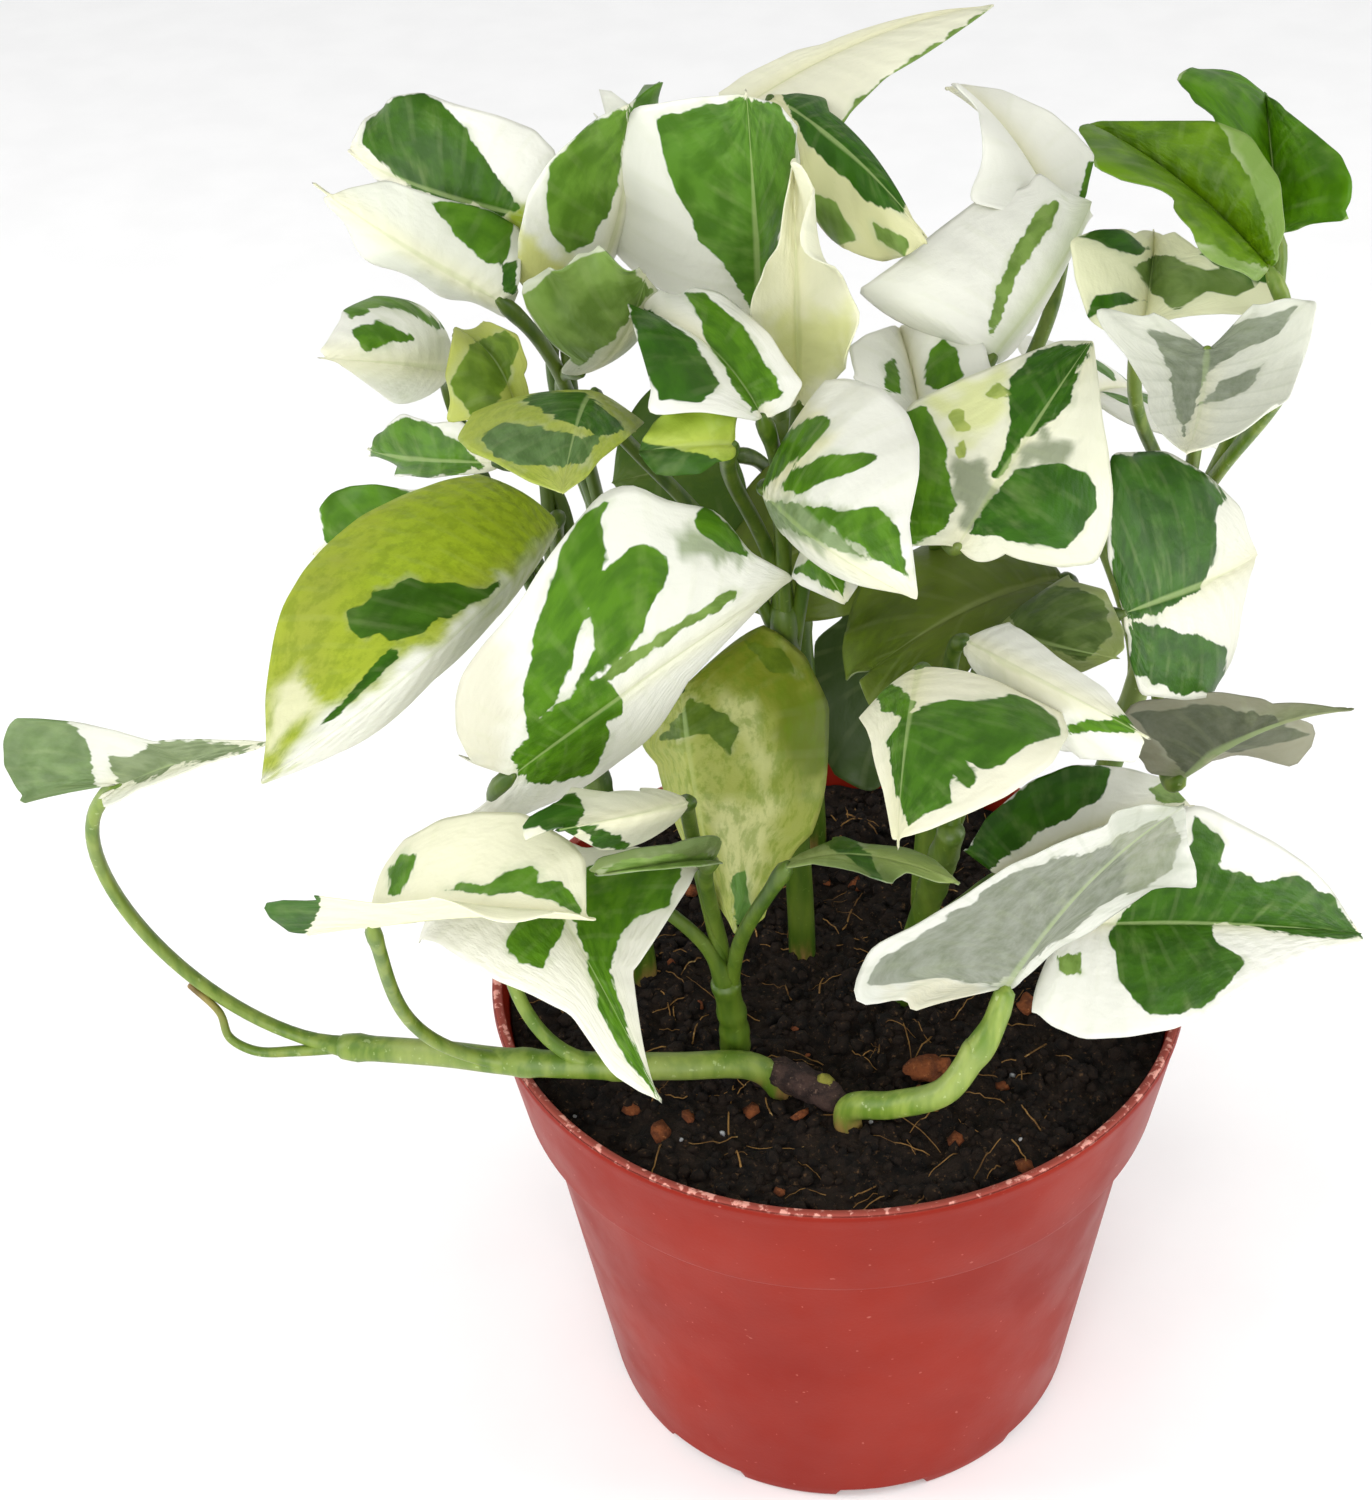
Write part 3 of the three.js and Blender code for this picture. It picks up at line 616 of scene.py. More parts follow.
def leaf_skin():
    f = Finish("leaf_skin")
    veins = f.step("UVMap", uv_map="veins")
    ground, patch = (f.step("Attribute", attribute_name=name) for name in ("ground", "patch"))
    mark, under, mottle = (f.step("Attribute", out=2, attribute_name=name)
                           for name in ("mark", "under", "mottle"))
    from_rib = f.step("Math", {0: f.step("SeparateXYZ", {0: veins}, out=1)}, operation="ABSOLUTE")

    along_veins = f.step("VectorMath", {0: veins, 1: (1.0, 0.34, 1.0)}, operation="MULTIPLY")
    across_veins = f.step("VectorMath", {0: veins, 1: (1.0, 0.6, 1.0)}, operation="MULTIPLY")
    ragged = f.grain(along_veins, 3.6, 1.5, 0.5)
    fine = f.grain(along_veins, 12.0, 1.0, 0.5)
    broad = f.grain(veins, 1.6, 2.0)

    # the ragged edge of a green patch, its paler halo and a few specks of green
    edge = mark
    for rough, reach in ((ragged, 0.5), (fine, 0.16)):
        spread = {"Value": rough, "From Min": 0.25, "From Max": 0.75, "To Min": -reach, "To Max": reach}
        edge = f.sum(edge, f.step("MapRange", spread))
    in_patch = f.ease(edge, -0.14, 0.14)
    halo = f.sum(f.ease(f.sum(edge, f.sum(broad, 2.4, "MULTIPLY")), 0.2, 1.9), 0.5, "MULTIPLY")
    halo = f.sum(halo, f.ease(broad, 0.45, 0.6), "MULTIPLY")
    specks = f.ease(f.grain(across_veins, 24.0, 3.0, 0.6), 0.74, 0.84, 0.0, 0.75)

    # the pale ground, cloudy with green on the yellower leaves
    tone = f.blend(halo, ground, f.blend(0.62, patch, paint(236, 238, 214)))
    yellower = f.ease(f.step("SeparateColor", {0: ground}, out=2), 0.6, 0.25)
    cloudy = f.ease(f.grain(veins, 4.5, 5.0, 0.65), 0.44, 0.62)
    cloudy = f.sum(cloudy, f.sum(mottle, yellower, "MULTIPLY"), "MULTIPLY")
    tone = f.blend(cloudy, tone, f.blend(0.6, tone, paint(116, 144, 26)))
    tone = f.blend(specks, tone, f.blend(0.25, patch, paint(200, 210, 160)))

    # the green of the patches
    darker = f.blend(1.0, patch, paint(180, 196, 150), "MULTIPLY")
    deeper = f.blend(f.ease(f.grain(veins, 2.6, 3.0), 0.36, 0.64, 0.0, 0.75), patch, darker)
    feather = f.ease(f.grain(along_veins, 3.5, 3.0, 0.6), 0.5, 0.75, 0.0, 0.25)
    deeper = f.blend(feather, deeper, f.blend(0.5, patch, paint(196, 214, 140)))
    tone = f.blend(in_patch, tone, deeper)

    # the midrib and the side veins
    rib_width = f.ease(from_rib, 0.075, 0.025)
    rib_tone = f.blend(in_patch, f.blend(0.45, ground, paint(196, 208, 140)), paint(176, 200, 128))
    tone = f.blend(f.sum(rib_width, 0.62, "MULTIPLY"), tone, rib_tone)
    waves = {"Vector": veins, "Scale": 0.95, "Distortion": 1.2, "Detail": 1.0, "Detail Scale": 0.8}
    side_veins = f.step("TexWave", waves, out=1, wave_type="BANDS", bands_direction="X")
    lines = f.sum(f.ease(side_veins, 0.8, 1.0, 0.0, 0.13), f.ease(broad, 0.38, 0.6), "MULTIPLY")
    tone = f.blend(lines, tone, f.blend(0.5, tone, paint(206, 216, 160)))

    # the underside, greyer
    beneath = f.blend(f.ease(f.grain(veins, 5.0, 5.0, 0.7), 0.3, 0.7, 0.2, 0.42), tone, paint(198, 202, 192))
    beneath = f.blend(f.ease(side_veins, 0.9, 1.0, 0.0, 0.09), beneath, paint(128, 140, 112))
    tone = f.blend(under, tone, beneath)
    tone = f.blend(1.0, tone, paint(247, 247, 245), "MULTIPLY")

    bump = f.relief(side_veins, 0.0004, 0.22)
    bump = f.relief(f.grain(veins, 4.0, 2.0), 0.0009, 0.35, bump)
    bump = f.relief(f.grain(along_veins, 60.0, 2.0), 0.00012, 0.3, bump)
    gloss = f.sum(f.ease(ragged, 0.3, 0.7, 0.36, 0.46), f.sum(under, 0.16, "MULTIPLY"))
    skin = f.step("BsdfPrincipled", {"Base Color": tone, "Roughness": gloss, "Normal": bump,
                                     "Specular IOR Level": 0.26})
    glow = f.step("BsdfTranslucent", {"Color": f.blend(0.25, tone, paint(236, 240, 196), "MULTIPLY")})
    return f.done(f.step("MixShader", {0: 0.27, 1: skin, 2: glow}))


leaf_finish = leaf_skin()


def inside_by(points, outline):
    """How far each photograph point lies inside an outline, in pixels. Outside is negative."""
    start = np.array(outline, float)
    side = np.roll(start, -1, axis=0) - start
    away = points[:, None, :] - start[None]
    share = np.clip((away * side).sum(2) / np.maximum((side ** 2).sum(1), 1e-9), 0, 1)
    distance = np.linalg.norm(away - share[..., None] * side, axis=2).min(1)
    crosses = (away[..., 1] >= 0) != (away[..., 1] - side[:, 1] >= 0)
    step = np.where(side[:, 1] == 0, 1e-9, side[:, 1])
    odd = (crosses & (away[..., 0] < side[:, 0] * away[..., 1] / step)).sum(1) % 2 == 1
    return np.where(odd, distance, -distance)


def edge_share(outline, rib, edge):
    """How much further than each edge point an outline lies, seen from the midrib, both in pixels."""
    start = np.array(outline, float)
    side = np.roll(start, -1, axis=0) - start
    ray, away = edge - rib, start[None] - rib[:, None, :]
    across = ray[:, None, 0] * side[None, :, 1] - ray[:, None, 1] * side[None, :, 0]
    across = np.where(np.abs(across) < 1e-6, 1e-6, across)
    share = (away[..., 0] * side[:, 1] - away[..., 1] * side[:, 0]) / across
    on_side = (away[..., 0] * ray[:, None, 1] - away[..., 1] * ray[:, None, 0]) / across
    missed = 99
    share = np.where((on_side >= 0) & (on_side <= 1) & (share > 0.2), share, missed)
    nearest = share[np.arange(len(share)), np.abs(np.log(share)).argmin(1)]
    known = (np.linalg.norm(ray, axis=1) > 9) & (nearest < missed)
    if known.sum() < 8:
        return np.ones(len(rib))
    rows = np.arange(len(rib))
    even = np.interp(rows, rows[known], np.clip(nearest[known], 0.6, 1.8))
    window = np.exp(-(np.arange(-4, 5) / 1.8) ** 2)
    return np.convolve(np.pad(even, 4, mode="edge"), window / window.sum(), mode="valid")


def blade_lines(leaf):
    """The lines that a blade is built on: its base, the way to its tip, the point that its bent midrib is
    drawn towards, its upward direction, and the way to the widest point of each half."""
    base, along = np.array(leaf["base"], float), np.array(leaf["tip"], float)
    axis = unit(along)
    left, right = (np.array(leaf[half], float) for half in ("left", "right"))
    left, right = left - axis * (left @ axis), right - axis * (right @ axis)
    up = unit(np.cross(right - left, axis))
    middle = base + 0.5 * along + up * leaf.get("bow", BOW) + np.cross(up, axis) * leaf.get("sweep", 0)
    control = 2 * middle - 0.5 * base - 0.5 * (base + along)
    return base, along, control, up, (left, right)


def blade_sheet(leaf, fit):
    """The middle of a blade on a grid: points, outward normals and distance from the midrib. fit widens
    the two halves of each row."""
    base, along, control, up, halves = blade_lines(leaf)
    tip = base + along
    s, t = BLADE_GRID
    reach = np.abs(t) * np.where(t < 0, fit[:, :1], fit[:, 1:])
    rounding = np.sin(math.pi * s)
    wide = 1.1 * rounding ** 0.85 * (1 - s ** 3) * (1 - leaf.get("taper", 0) * s)
    rib = s ** 1.6
    on_rib = (1 - rib) ** 2 * base + 2 * rib * (1 - rib) * control + rib ** 2 * tip
    tangent = 2 * (1 - rib) * (control - base) + 2 * rib * (tip - control)
    tangent /= np.linalg.norm(tangent, axis=1)[:, None]
    sheet, from_rib = np.zeros((s.size, t.size, 3)), np.zeros((s.size, t.size))
    curls, lobes = leaf.get("curl", (CURL, CURL)), leaf.get("lobes", (LOBE, LOBE))
    for half, curl, lobe, columns in zip(halves, curls, lobes, (t[0] < 0, t[0] >= 0)):
        out = half - tangent * (tangent @ half)[:, None]
        out /= np.linalg.norm(out, axis=1)[:, None]
        lift = np.cross(out, tangent)
        lift *= np.where(lift @ up >= 0, 1, -1)[:, None]
        r = reach[:, columns]
        turn = curl * (r - 0.5)
        chord = np.linalg.norm(half) * wide
        across = chord * (np.sin(turn) + math.sin(curl / 2)) / (2 * math.sin(curl / 2))
        bulge = chord * (np.cos(turn) - math.cos(curl / 2)) / (2 * math.sin(curl / 2))
        wave = EDGE_WAVE_HEIGHT * np.sin(EDGE_WAVES * s + 5 * base[0]) * r * r * rounding
        fine = FINE_WAVE_HEIGHT * np.sin(FINE_WAVES * s + 3 * base[1] + 2 * half[0]) * r ** 4 * rounding
        forward = (1 - np.cos(math.pi * s)) / 2 - lobe * rounding * (1 - s) ** 2
        slide = (forward - rib) * np.linalg.norm(along) * r
        sheet[:, columns] = (on_rib[:, None, :] + tangent[:, None, :] * slide[..., None]
                             + out[:, None, :] * across[..., None]
                             + lift[:, None, :] * (bulge + wave + fine)[..., None])
        from_rib[:, columns] = chord * r
    normal = np.cross(np.gradient(sheet, axis=1), np.gradient(sheet, axis=0))
    normal /= np.maximum(np.linalg.norm(normal, axis=2), 1e-9)[..., None]
    normal[0], normal[-1] = normal[1].mean(0), normal[-2].mean(0)
    normal /= np.linalg.norm(normal, axis=2)[..., None]
    if np.sum(normal[BLADE_ROWS // 2, BLADE_COLUMNS] * up) < 0:
        normal = -normal
    return sheet, normal, from_rib


def fitted_sheet(leaf):
    """A blade's sheet, each half widened or narrowed until its edge lies on the photographed outline."""
    fit = np.ones((BLADE_ROWS + 1, 2))
    for _ in range(FITTING_ROUNDS if "outline" in leaf else 0):
        sheet = blade_sheet(leaf, fit)[0]
        seen = in_photo(sheet.reshape(-1, 3)).reshape(*sheet.shape[:2], 2)
        outlines = leaf["outline"], leaf.get("outline_right", leaf["outline"])
        for half, (edge, outline) in enumerate(zip((0, -1), outlines)):
            fit[:, half] *= edge_share(outline, seen[:, BLADE_COLUMNS], seen[:, edge])
        fit = np.clip(fit, *leaf.get("limits", FIT_LIMITS))
    return blade_sheet(leaf, fit)


def in_line(layer):
    """A layer of the grid, point by point. The rows at the base and at the tip are one point each."""
    return np.vstack([layer[:1, 0], layer[1:-1].reshape(-1, layer.shape[-1]), layer[-1:, 0]])


def close_blade(sheet, normal, above, below):
    """Points and faces of the closed blade: its upper skin, its underside and its edge."""
    rows, columns = sheet.shape[:2]
    inner = (rows - 2) * columns
    count = inner + 2
    grid = 1 + np.arange(inner).reshape(rows - 2, columns)
    quads = np.stack([grid[:-1, :-1], grid[:-1, 1:], grid[1:, 1:], grid[1:, :-1]], -1).reshape(-1, 4).tolist()
    fans = [(0, grid[0, i], grid[0, i + 1]) for i in range(columns - 1)]
    fans += [(count - 1, grid[-1, i + 1], grid[-1, i]) for i in range(columns - 1)]
    faces = [tuple(q[::-1]) for q in quads] + fans
    faces += [tuple(count + k for k in face[::-1]) for face in faces]
    for column in (0, columns - 1):
        ring = [0, *grid[:, column].tolist(), count - 1]
        for a, b in zip(ring[:-1], ring[1:]):
            side = (a, b, count + b, count + a)
            faces.append(side if column else side[::-1])
    top, low = sheet + normal * above[..., None], sheet - normal * below[..., None]
    points = np.vstack([in_line(top), in_line(low)])
    face = points[quads[(rows // 2 - 1) * (columns - 1) + columns // 2]]
    if np.cross(face[1] - face[0], face[2] - face[0]) @ normal[rows // 2, columns // 2] > 0:
        faces = [face[::-1] for face in faces]
    return points, faces


def flame_marks(s, t, length, seed):
    """For a leaf that the photograph doesn't show: how far inside its green strokes each point lies."""
    own = random.Random(seed)
    inside = np.full(np.broadcast(s, t).shape, -4.0)
    for half in (-1, 1):
        for middle in (own.uniform(0.2, 0.34), own.uniform(0.46, 0.6), own.uniform(0.7, 0.8)):
            wide, start, end = own.uniform(0.03, 0.1), own.uniform(0.0, 0.2), own.uniform(0.5, 0.95)
            reach = t * half
            along = (s - middle + 0.05 * reach) / wide
            outward = (2 * reach - start - end) / (end - start)
            inside = np.maximum(inside, (1 - np.sqrt(along ** 2 + outward ** 2)) * wide * length)
    return inside


def store(piece, name, values):
    """Lays one value or one colour for each point on a piece, for its finish to read."""
    kind, key = ("FLOAT", "value") if np.ndim(values) == 1 else ("FLOAT_COLOR", "color")
    layer = piece.data.attributes.new(name, kind, "POINT")
    layer.data.foreach_set(key, np.ascontiguousarray(values, dtype=np.float32).ravel())


def colour_blade(piece, leaf, sheet, from_rib):
    """Lays a leaf's green patches and ground colours, some of them painted shade, on both skins of its blade.
    """
    skin_points = in_line(sheet)
    seen = in_photo(np.vstack([skin_points] * 2))
    mark = np.full(len(seen), BARE)
    patch = np.tile(paint(*GREEN), (len(seen), 1))
    for colour, outline in leaf.get("marks", []):
        depth = inside_by(seen, outline) / PIXELS_PER_MM
        nearer = depth > mark
        mark[nearer] = depth[nearer]
        patch[nearer] = paint(*colour)
    if "flames" in leaf:
        flames = flame_marks(*BLADE_GRID, np.linalg.norm(leaf["tip"]), leaf["flames"])
        mark = np.maximum(mark, np.tile(in_line(flames[..., None])[:, 0], 2))
    ground = np.tile(paint(*leaf.get("ground", CREAM)), (len(seen), 1))
    close = np.exp(-(in_line(from_rib[..., None])[:, 0] / RIB_TINT_WIDTH) ** 2)[:, None]
    close = np.tile(close * leaf.get("rib_tint", RIB_TINT), (2, 1))
    ground = ground * (1 - close) + np.array(paint(*leaf.get("rib", IVORY))) * close
    cloud = np.tile([noise.noise(Vector(p) * 0.35) * 16 for p in skin_points], 2)
    for colour, soft, outline in leaf.get("tints", []):
        share = np.clip((inside_by(seen, outline) + cloud) / soft + 0.5, 0, 1)[:, None]
        share = share * share * (3 - 2 * share)
        ground = ground * (1 - share) + np.array(paint(*colour)) * share
    store(piece, "mark", mark)
    store(piece, "mottle", np.full(len(seen), leaf.get("mottle", 0.0)))
    store(piece, "under", np.repeat([0.0, leaf.get("silver", 1.0)], len(skin_points)))
    store(piece, "ground", ground)
    store(piece, "patch", patch)


def grow_blade(vine, number, leaf):
    sheet, normal, from_rib = fitted_sheet(leaf)
    s, t = BLADE_GRID
    thick = BLADE_HALF * (1 - EDGE_THINNING * np.abs(t) ** 8)
    sink = RIB_SINK * np.exp(-(from_rib / RIB_WIDTH) ** 2) * np.sin(math.pi * s) ** 0.5
    points, faces = close_blade(sheet, normal, thick - sink, thick + 1.2 * sink)
    piece = shape_up(f"blade_{vine}_{number}", points, faces, leaf_finish)
    colour_blade(piece, leaf, sheet, from_rib)

    along, halves = blade_lines(leaf)[1], blade_lines(leaf)[4]
    run = s * np.linalg.norm(along) / 10 + 9.7 * number + 3.1 * len(vine)
    flat = np.stack(np.broadcast_arrays(run, t * max(map(np.linalg.norm, halves)) / 10), axis=-1)
    flat = np.vstack([in_line(flat)] * 2)
    corners = np.zeros(len(piece.data.loops), int)
    piece.data.loops.foreach_get("vertex_index", corners)
    piece.data.uv_layers.new(name="veins").data.foreach_set("uv", flat[corners].astype(np.float32).ravel())

    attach(piece, "root")
    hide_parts(f"leaf_{vine}_{number}")


def leaf_stalk(leaf, curve, run):
    """The path and the radii of a leaf stalk, from its stem to the base of its blade."""
    at = leaf["at"]
    start = along_curve(curve, run, at)
    leaving = unit(along_curve(curve, run, at + 0.004) - along_curve(curve, run, at - 0.004))
    base, _, control, up, _ = blade_lines(leaf)
    if "back" in leaf:
        arrival = unit(-np.array(leaf["back"], float))
    else:
        arrival = unit(unit(control - base) + 0.5 * up)
    end = base + arrival * 0.15
    span = np.linalg.norm(end - start)
    u = np.linspace(0, 1, STALK_STEPS)[:, None]
    first, second = start + leaving * 0.4 * span, end - arrival * 0.35 * span
    way = ((1 - u) ** 3 * start + 3 * u * (1 - u) ** 2 * first + 3 * u * u * (1 - u) * second + u ** 3 * end)
    gone = np.concatenate([[0], np.cumsum(np.linalg.norm(np.diff(way, axis=0), axis=1))])
    sheath, joint = np.exp(-(gone / 6.0) ** 2), np.exp(-(((gone - gone[-1]) + 3.5) / 2.5) ** 2)
    radius = STALK_RADIUS + 0.85 * sheath + leaf.get("stout", 0.0) + 0.22 * joint
    return way, radius * np.clip(0.55 + (gone[-1] - gone) / 1.6, 0, 1)


def grow_vine(name, stem, leaves, shoot=None, painted_shade=1.0):
    """A vine: its stem with the stalks of its leaves as one piece, and each leaf's blade. The last argument
    is how far painted shade darkens the green of its stem."""
    curve, run = run_curve(stem)
    share = np.linspace(0, 1, STEM_STEPS)
    knots = sum(0.35 * np.exp(-(((share - leaf["at"]) * run[-1]) / 1.6) ** 2) for leaf in leaves)
    parts = [draw_tube(along_curve(curve, run, share), STEM_RADIUS + knots - 0.25 * share, STEM_SIDES)]
    parts += [draw_tube(*leaf_stalk(leaf, curve, run), STALK_SIDES, groove=0.16) for leaf in leaves]
    if shoot:
        radius = SHOOT_RADIUS * (1.1 - 0.55 * share)
        parts.append(draw_tube(along_curve(*run_curve(shoot), share), radius, STALK_SIDES))
    points, faces = gather(parts)
    age = np.zeros(len(points))
    if shoot:
        withered = len(parts[-1][0])
        age[-withered:] = np.clip(np.linspace(-1.5, 1.0, withered), 0, 1)
    piece = shape_up(f"stem_{name}", points, faces, stem_finish)
    store(piece, "age", age)
    store(piece, "painted_shade", np.full(len(points), painted_shade))
    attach(piece, "root")
    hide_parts(f"vine_{name}")
    for number, leaf in enumerate(leaves, 1):
        grow_blade(name, number, leaf)


# The vines, one call each. at is where a leaf's stalk leaves the stem, as a share of its length. A leaf has
# the base of its blade and, from there, the way to its tip and to the widest point of each half, left and
# right. back is the way that its stalk comes from, and stout thickens that. bow and sweep bend the midrib,
# curl bends the halves, lobes is how far each reaches behind the base, and taper narrows the blade's end.
# outline is the blade's edge in the photograph's pixels, outline_right that of its right half, and limits
# how far the edge may be moved to it. ground and rib are its colours, darkened as painted shade on the
# leaves deep in the shade, mottle is how cloudy it is, and silver how grey underneath. marks and tints are
# outlines in the same pixels: green patches, and changes of the ground colour, a few of them painted shade,
# each over so many pixels. flames numbers a leaf whose green strokes are drawn by a rule.

# Back left vine: four leaves at the top left. Two lie out to the left, one stands cupped round
# its midrib, and a small pale green one lies below them.
grow_vine("back_left", stem=[(-22, 28, 76), (-22, 28, 92), (-29, 30, 128), (-39, 34, 160)], leaves=[
    dict(at=0.98, base=(-46, 32, 217), tip=(-32, 24, 1), left=(-16, 21, -11), right=(-15, 22, 11),
         back=(2, 10, -2),
         outline=[(346, 155), (364, 118), (394, 96), (422, 92), (455, 104), (500, 116), (535, 130),
             (556, 152), (552, 190), (528, 218), (478, 216), (430, 208), (395, 190), (362, 170)],
         tints=[(OLIVE, 16, [(470, 215), (530, 205), (530, 240), (480, 240)])],
         marks=[((64, 112, 0), [(364, 122), (394, 98), (422, 94), (444, 105), (466, 131), (495, 174),
                    (524, 209), (500, 216), (477, 205), (435, 200), (393, 174), (364, 145)])]),
    dict(at=0.85, base=(-51, 22, 208), tip=(-30, 16, 13), left=(-5, 6, -4), right=(-9, 15, 12),
         back=(8, 4, -10), limits=(0.28, 1.9),
         outline=[(323, 198), (350, 188), (388, 180), (440, 198), (490, 210), (522, 230), (520, 280),
             (505, 318), (492, 315), (474, 296), (460, 270), (425, 240), (390, 224), (350, 207)],
         ground=(236, 238, 226),
         marks=[(GREEN, [(430, 202), (476, 206), (512, 222), (508, 262), (488, 264), (456, 238)]),
                (DEEP, [(498, 262), (516, 262), (516, 298), (504, 292)])]),
    dict(at=0.92, base=(-40, 36, 200), tip=(10, -7, 36), left=(-6, -10, 21), right=(6, 15, 10),
         outline=[(690, 76), (655, 84), (629, 104), (600, 116), (578, 134), (551, 160), (528, 195),
             (518, 240), (518, 281), (545, 305), (585, 300), (610, 262), (630, 200), (650, 140)],
         tints=[((226, 228, 150), 24, [(515, 225), (560, 255), (600, 280), (540, 310), (515, 290)])],
         marks=[((116, 160, 56), [(629, 107), (600, 118), (578, 134), (551, 163), (543, 196), (549, 225),
                    (567, 252), (590, 240), (607, 214), (618, 185), (622, 147)]),
                (GREEN, [(622, 116), (640, 92), (660, 70), (700, 66), (694, 108), (650, 118)])]),
    dict(at=0.75, base=(-39, 22, 195), tip=(12, -14, 24), left=(-5, -10, 17), right=(6, 10, 0),
         outline=[(518, 292), (560, 261), (620, 241), (634, 262), (656, 288), (630, 318), (611, 337),
             (590, 362), (560, 352), (524, 310)],
         ground=(208, 214, 190),
         marks=[(SOFT_GREEN, [(520, 296), (560, 266), (618, 246), (630, 268), (652, 290), (611, 340),
                    (578, 366), (546, 340)])]),
])


# Left vine: four small leaves in a bunch on the left, and the large olive leaf that hangs forward
# below them, green and cloudy with one white half.
grow_vine("left", stem=[(-34, 2, 76), (-34, 2, 92), (-38, 2, 120), (-43, 3, 152)], leaves=[
    dict(at=0.98, base=(-46, -4, 203), tip=(-12, 21, 2), left=(-9, -2, 6), right=(-2, 16, 2),
         back=(4, 12, -10),
         outline=[(455, 325), (490, 322), (518, 335), (528, 365), (515, 400), (490, 418), (455, 412),
             (445, 375)],
         ground=PALE_OLIVE, rib=OLIVE,
         marks=[((128, 160, 50), [(450, 385), (470, 345), (505, 330), (520, 350), (500, 400),
                    (470, 415)])]),
    dict(at=0.9, base=(-59, 18, 198), tip=(-13, -34, 21), left=(-9, 0, -6), right=(-10, 5, 10),
         curl=(1.2, 2.2),
         outline=[(320, 352), (340, 320), (342, 311), (382, 295), (406, 300), (447, 329), (462, 330),
             (470, 360), (447, 406), (392, 402), (351, 372)],
         marks=[(GREEN, [(342, 311), (362, 298), (382, 295), (406, 300), (447, 329), (436, 330), (405, 312),
                    (380, 308), (352, 318)]),
                (GREEN, [(350, 330), (378, 322), (410, 339), (384, 346), (363, 354)])]),
    dict(at=0.8, base=(-52, 7, 188), tip=(-24, 22, -10), left=(-13, 15, -11), right=(-13, 18, 0),
         outline=[(368, 462), (375, 435), (402, 413), (433, 423), (460, 420), (484, 440), (490, 470),
             (433, 478), (371, 472)],
         marks=[(GREEN, [(371, 440), (402, 418), (433, 425), (457, 441), (484, 466), (433, 478),
                    (371, 472)])]),
    dict(at=0.7, base=(-58, 7, 178), tip=(-24, -2, -5), left=(-11, -3, -12), right=(-12, 1, 6),
         outline=[(318, 510), (330, 494), (350, 486), (375, 484), (410, 490), (400, 520), (345, 545),
             (325, 540)],
         marks=[(GREEN, [(318, 502), (341, 488), (375, 482), (410, 492), (400, 520), (328, 542)])]),
    dict(at=0.86, base=(-41, -8, 186), tip=(-35, -60, -2), left=(-17, -4, -18), right=(-27, -4, 7), bow=5,
         outline=[(261, 784), (266, 741), (265, 700), (268, 674), (274, 636), (283, 605), (304, 570),
             (328, 543), (361, 516), (406, 494), (446, 480), (487, 473), (536, 476), (562, 492), (566, 530),
             (558, 545), (518, 572), (495, 608), (473, 630), (435, 650), (420, 680), (406, 697), (385, 725),
             (357, 744), (295, 772)],
         ground=(182, 198, 58), rib=(206, 212, 118), mottle=0.6,
         tints=[((182, 204, 48), 34, [(400, 500), (500, 482), (560, 500), (530, 560), (450, 575),
                    (350, 600)]),
                ((182, 194, 72), 34, [(268, 674), (290, 600), (340, 560), (330, 640), (320, 720),
                    (266, 760)]),
                (CREAM, 26, [(262, 790), (300, 738), (345, 704), (385, 676), (420, 652), (455, 624),
                    (490, 592), (530, 562), (562, 532), (575, 560), (480, 660), (440, 700), (350, 770)]),
                ((240, 240, 200), 20, [(270, 690), (300, 670), (316, 700), (290, 740), (268, 750)])],
         marks=[((72, 118, 22), [(348, 608), (366, 604), (372, 586), (390, 590), (406, 576), (430, 584),
                    (451, 583), (480, 592), (502, 581), (486, 600), (470, 604), (452, 620), (435, 618),
                    (420, 634), (392, 645), (378, 634), (362, 640), (346, 630)]),
                (DEEP, [(392, 645), (400, 655), (360, 695), (332, 722), (314, 730), (345, 700)])]),
])
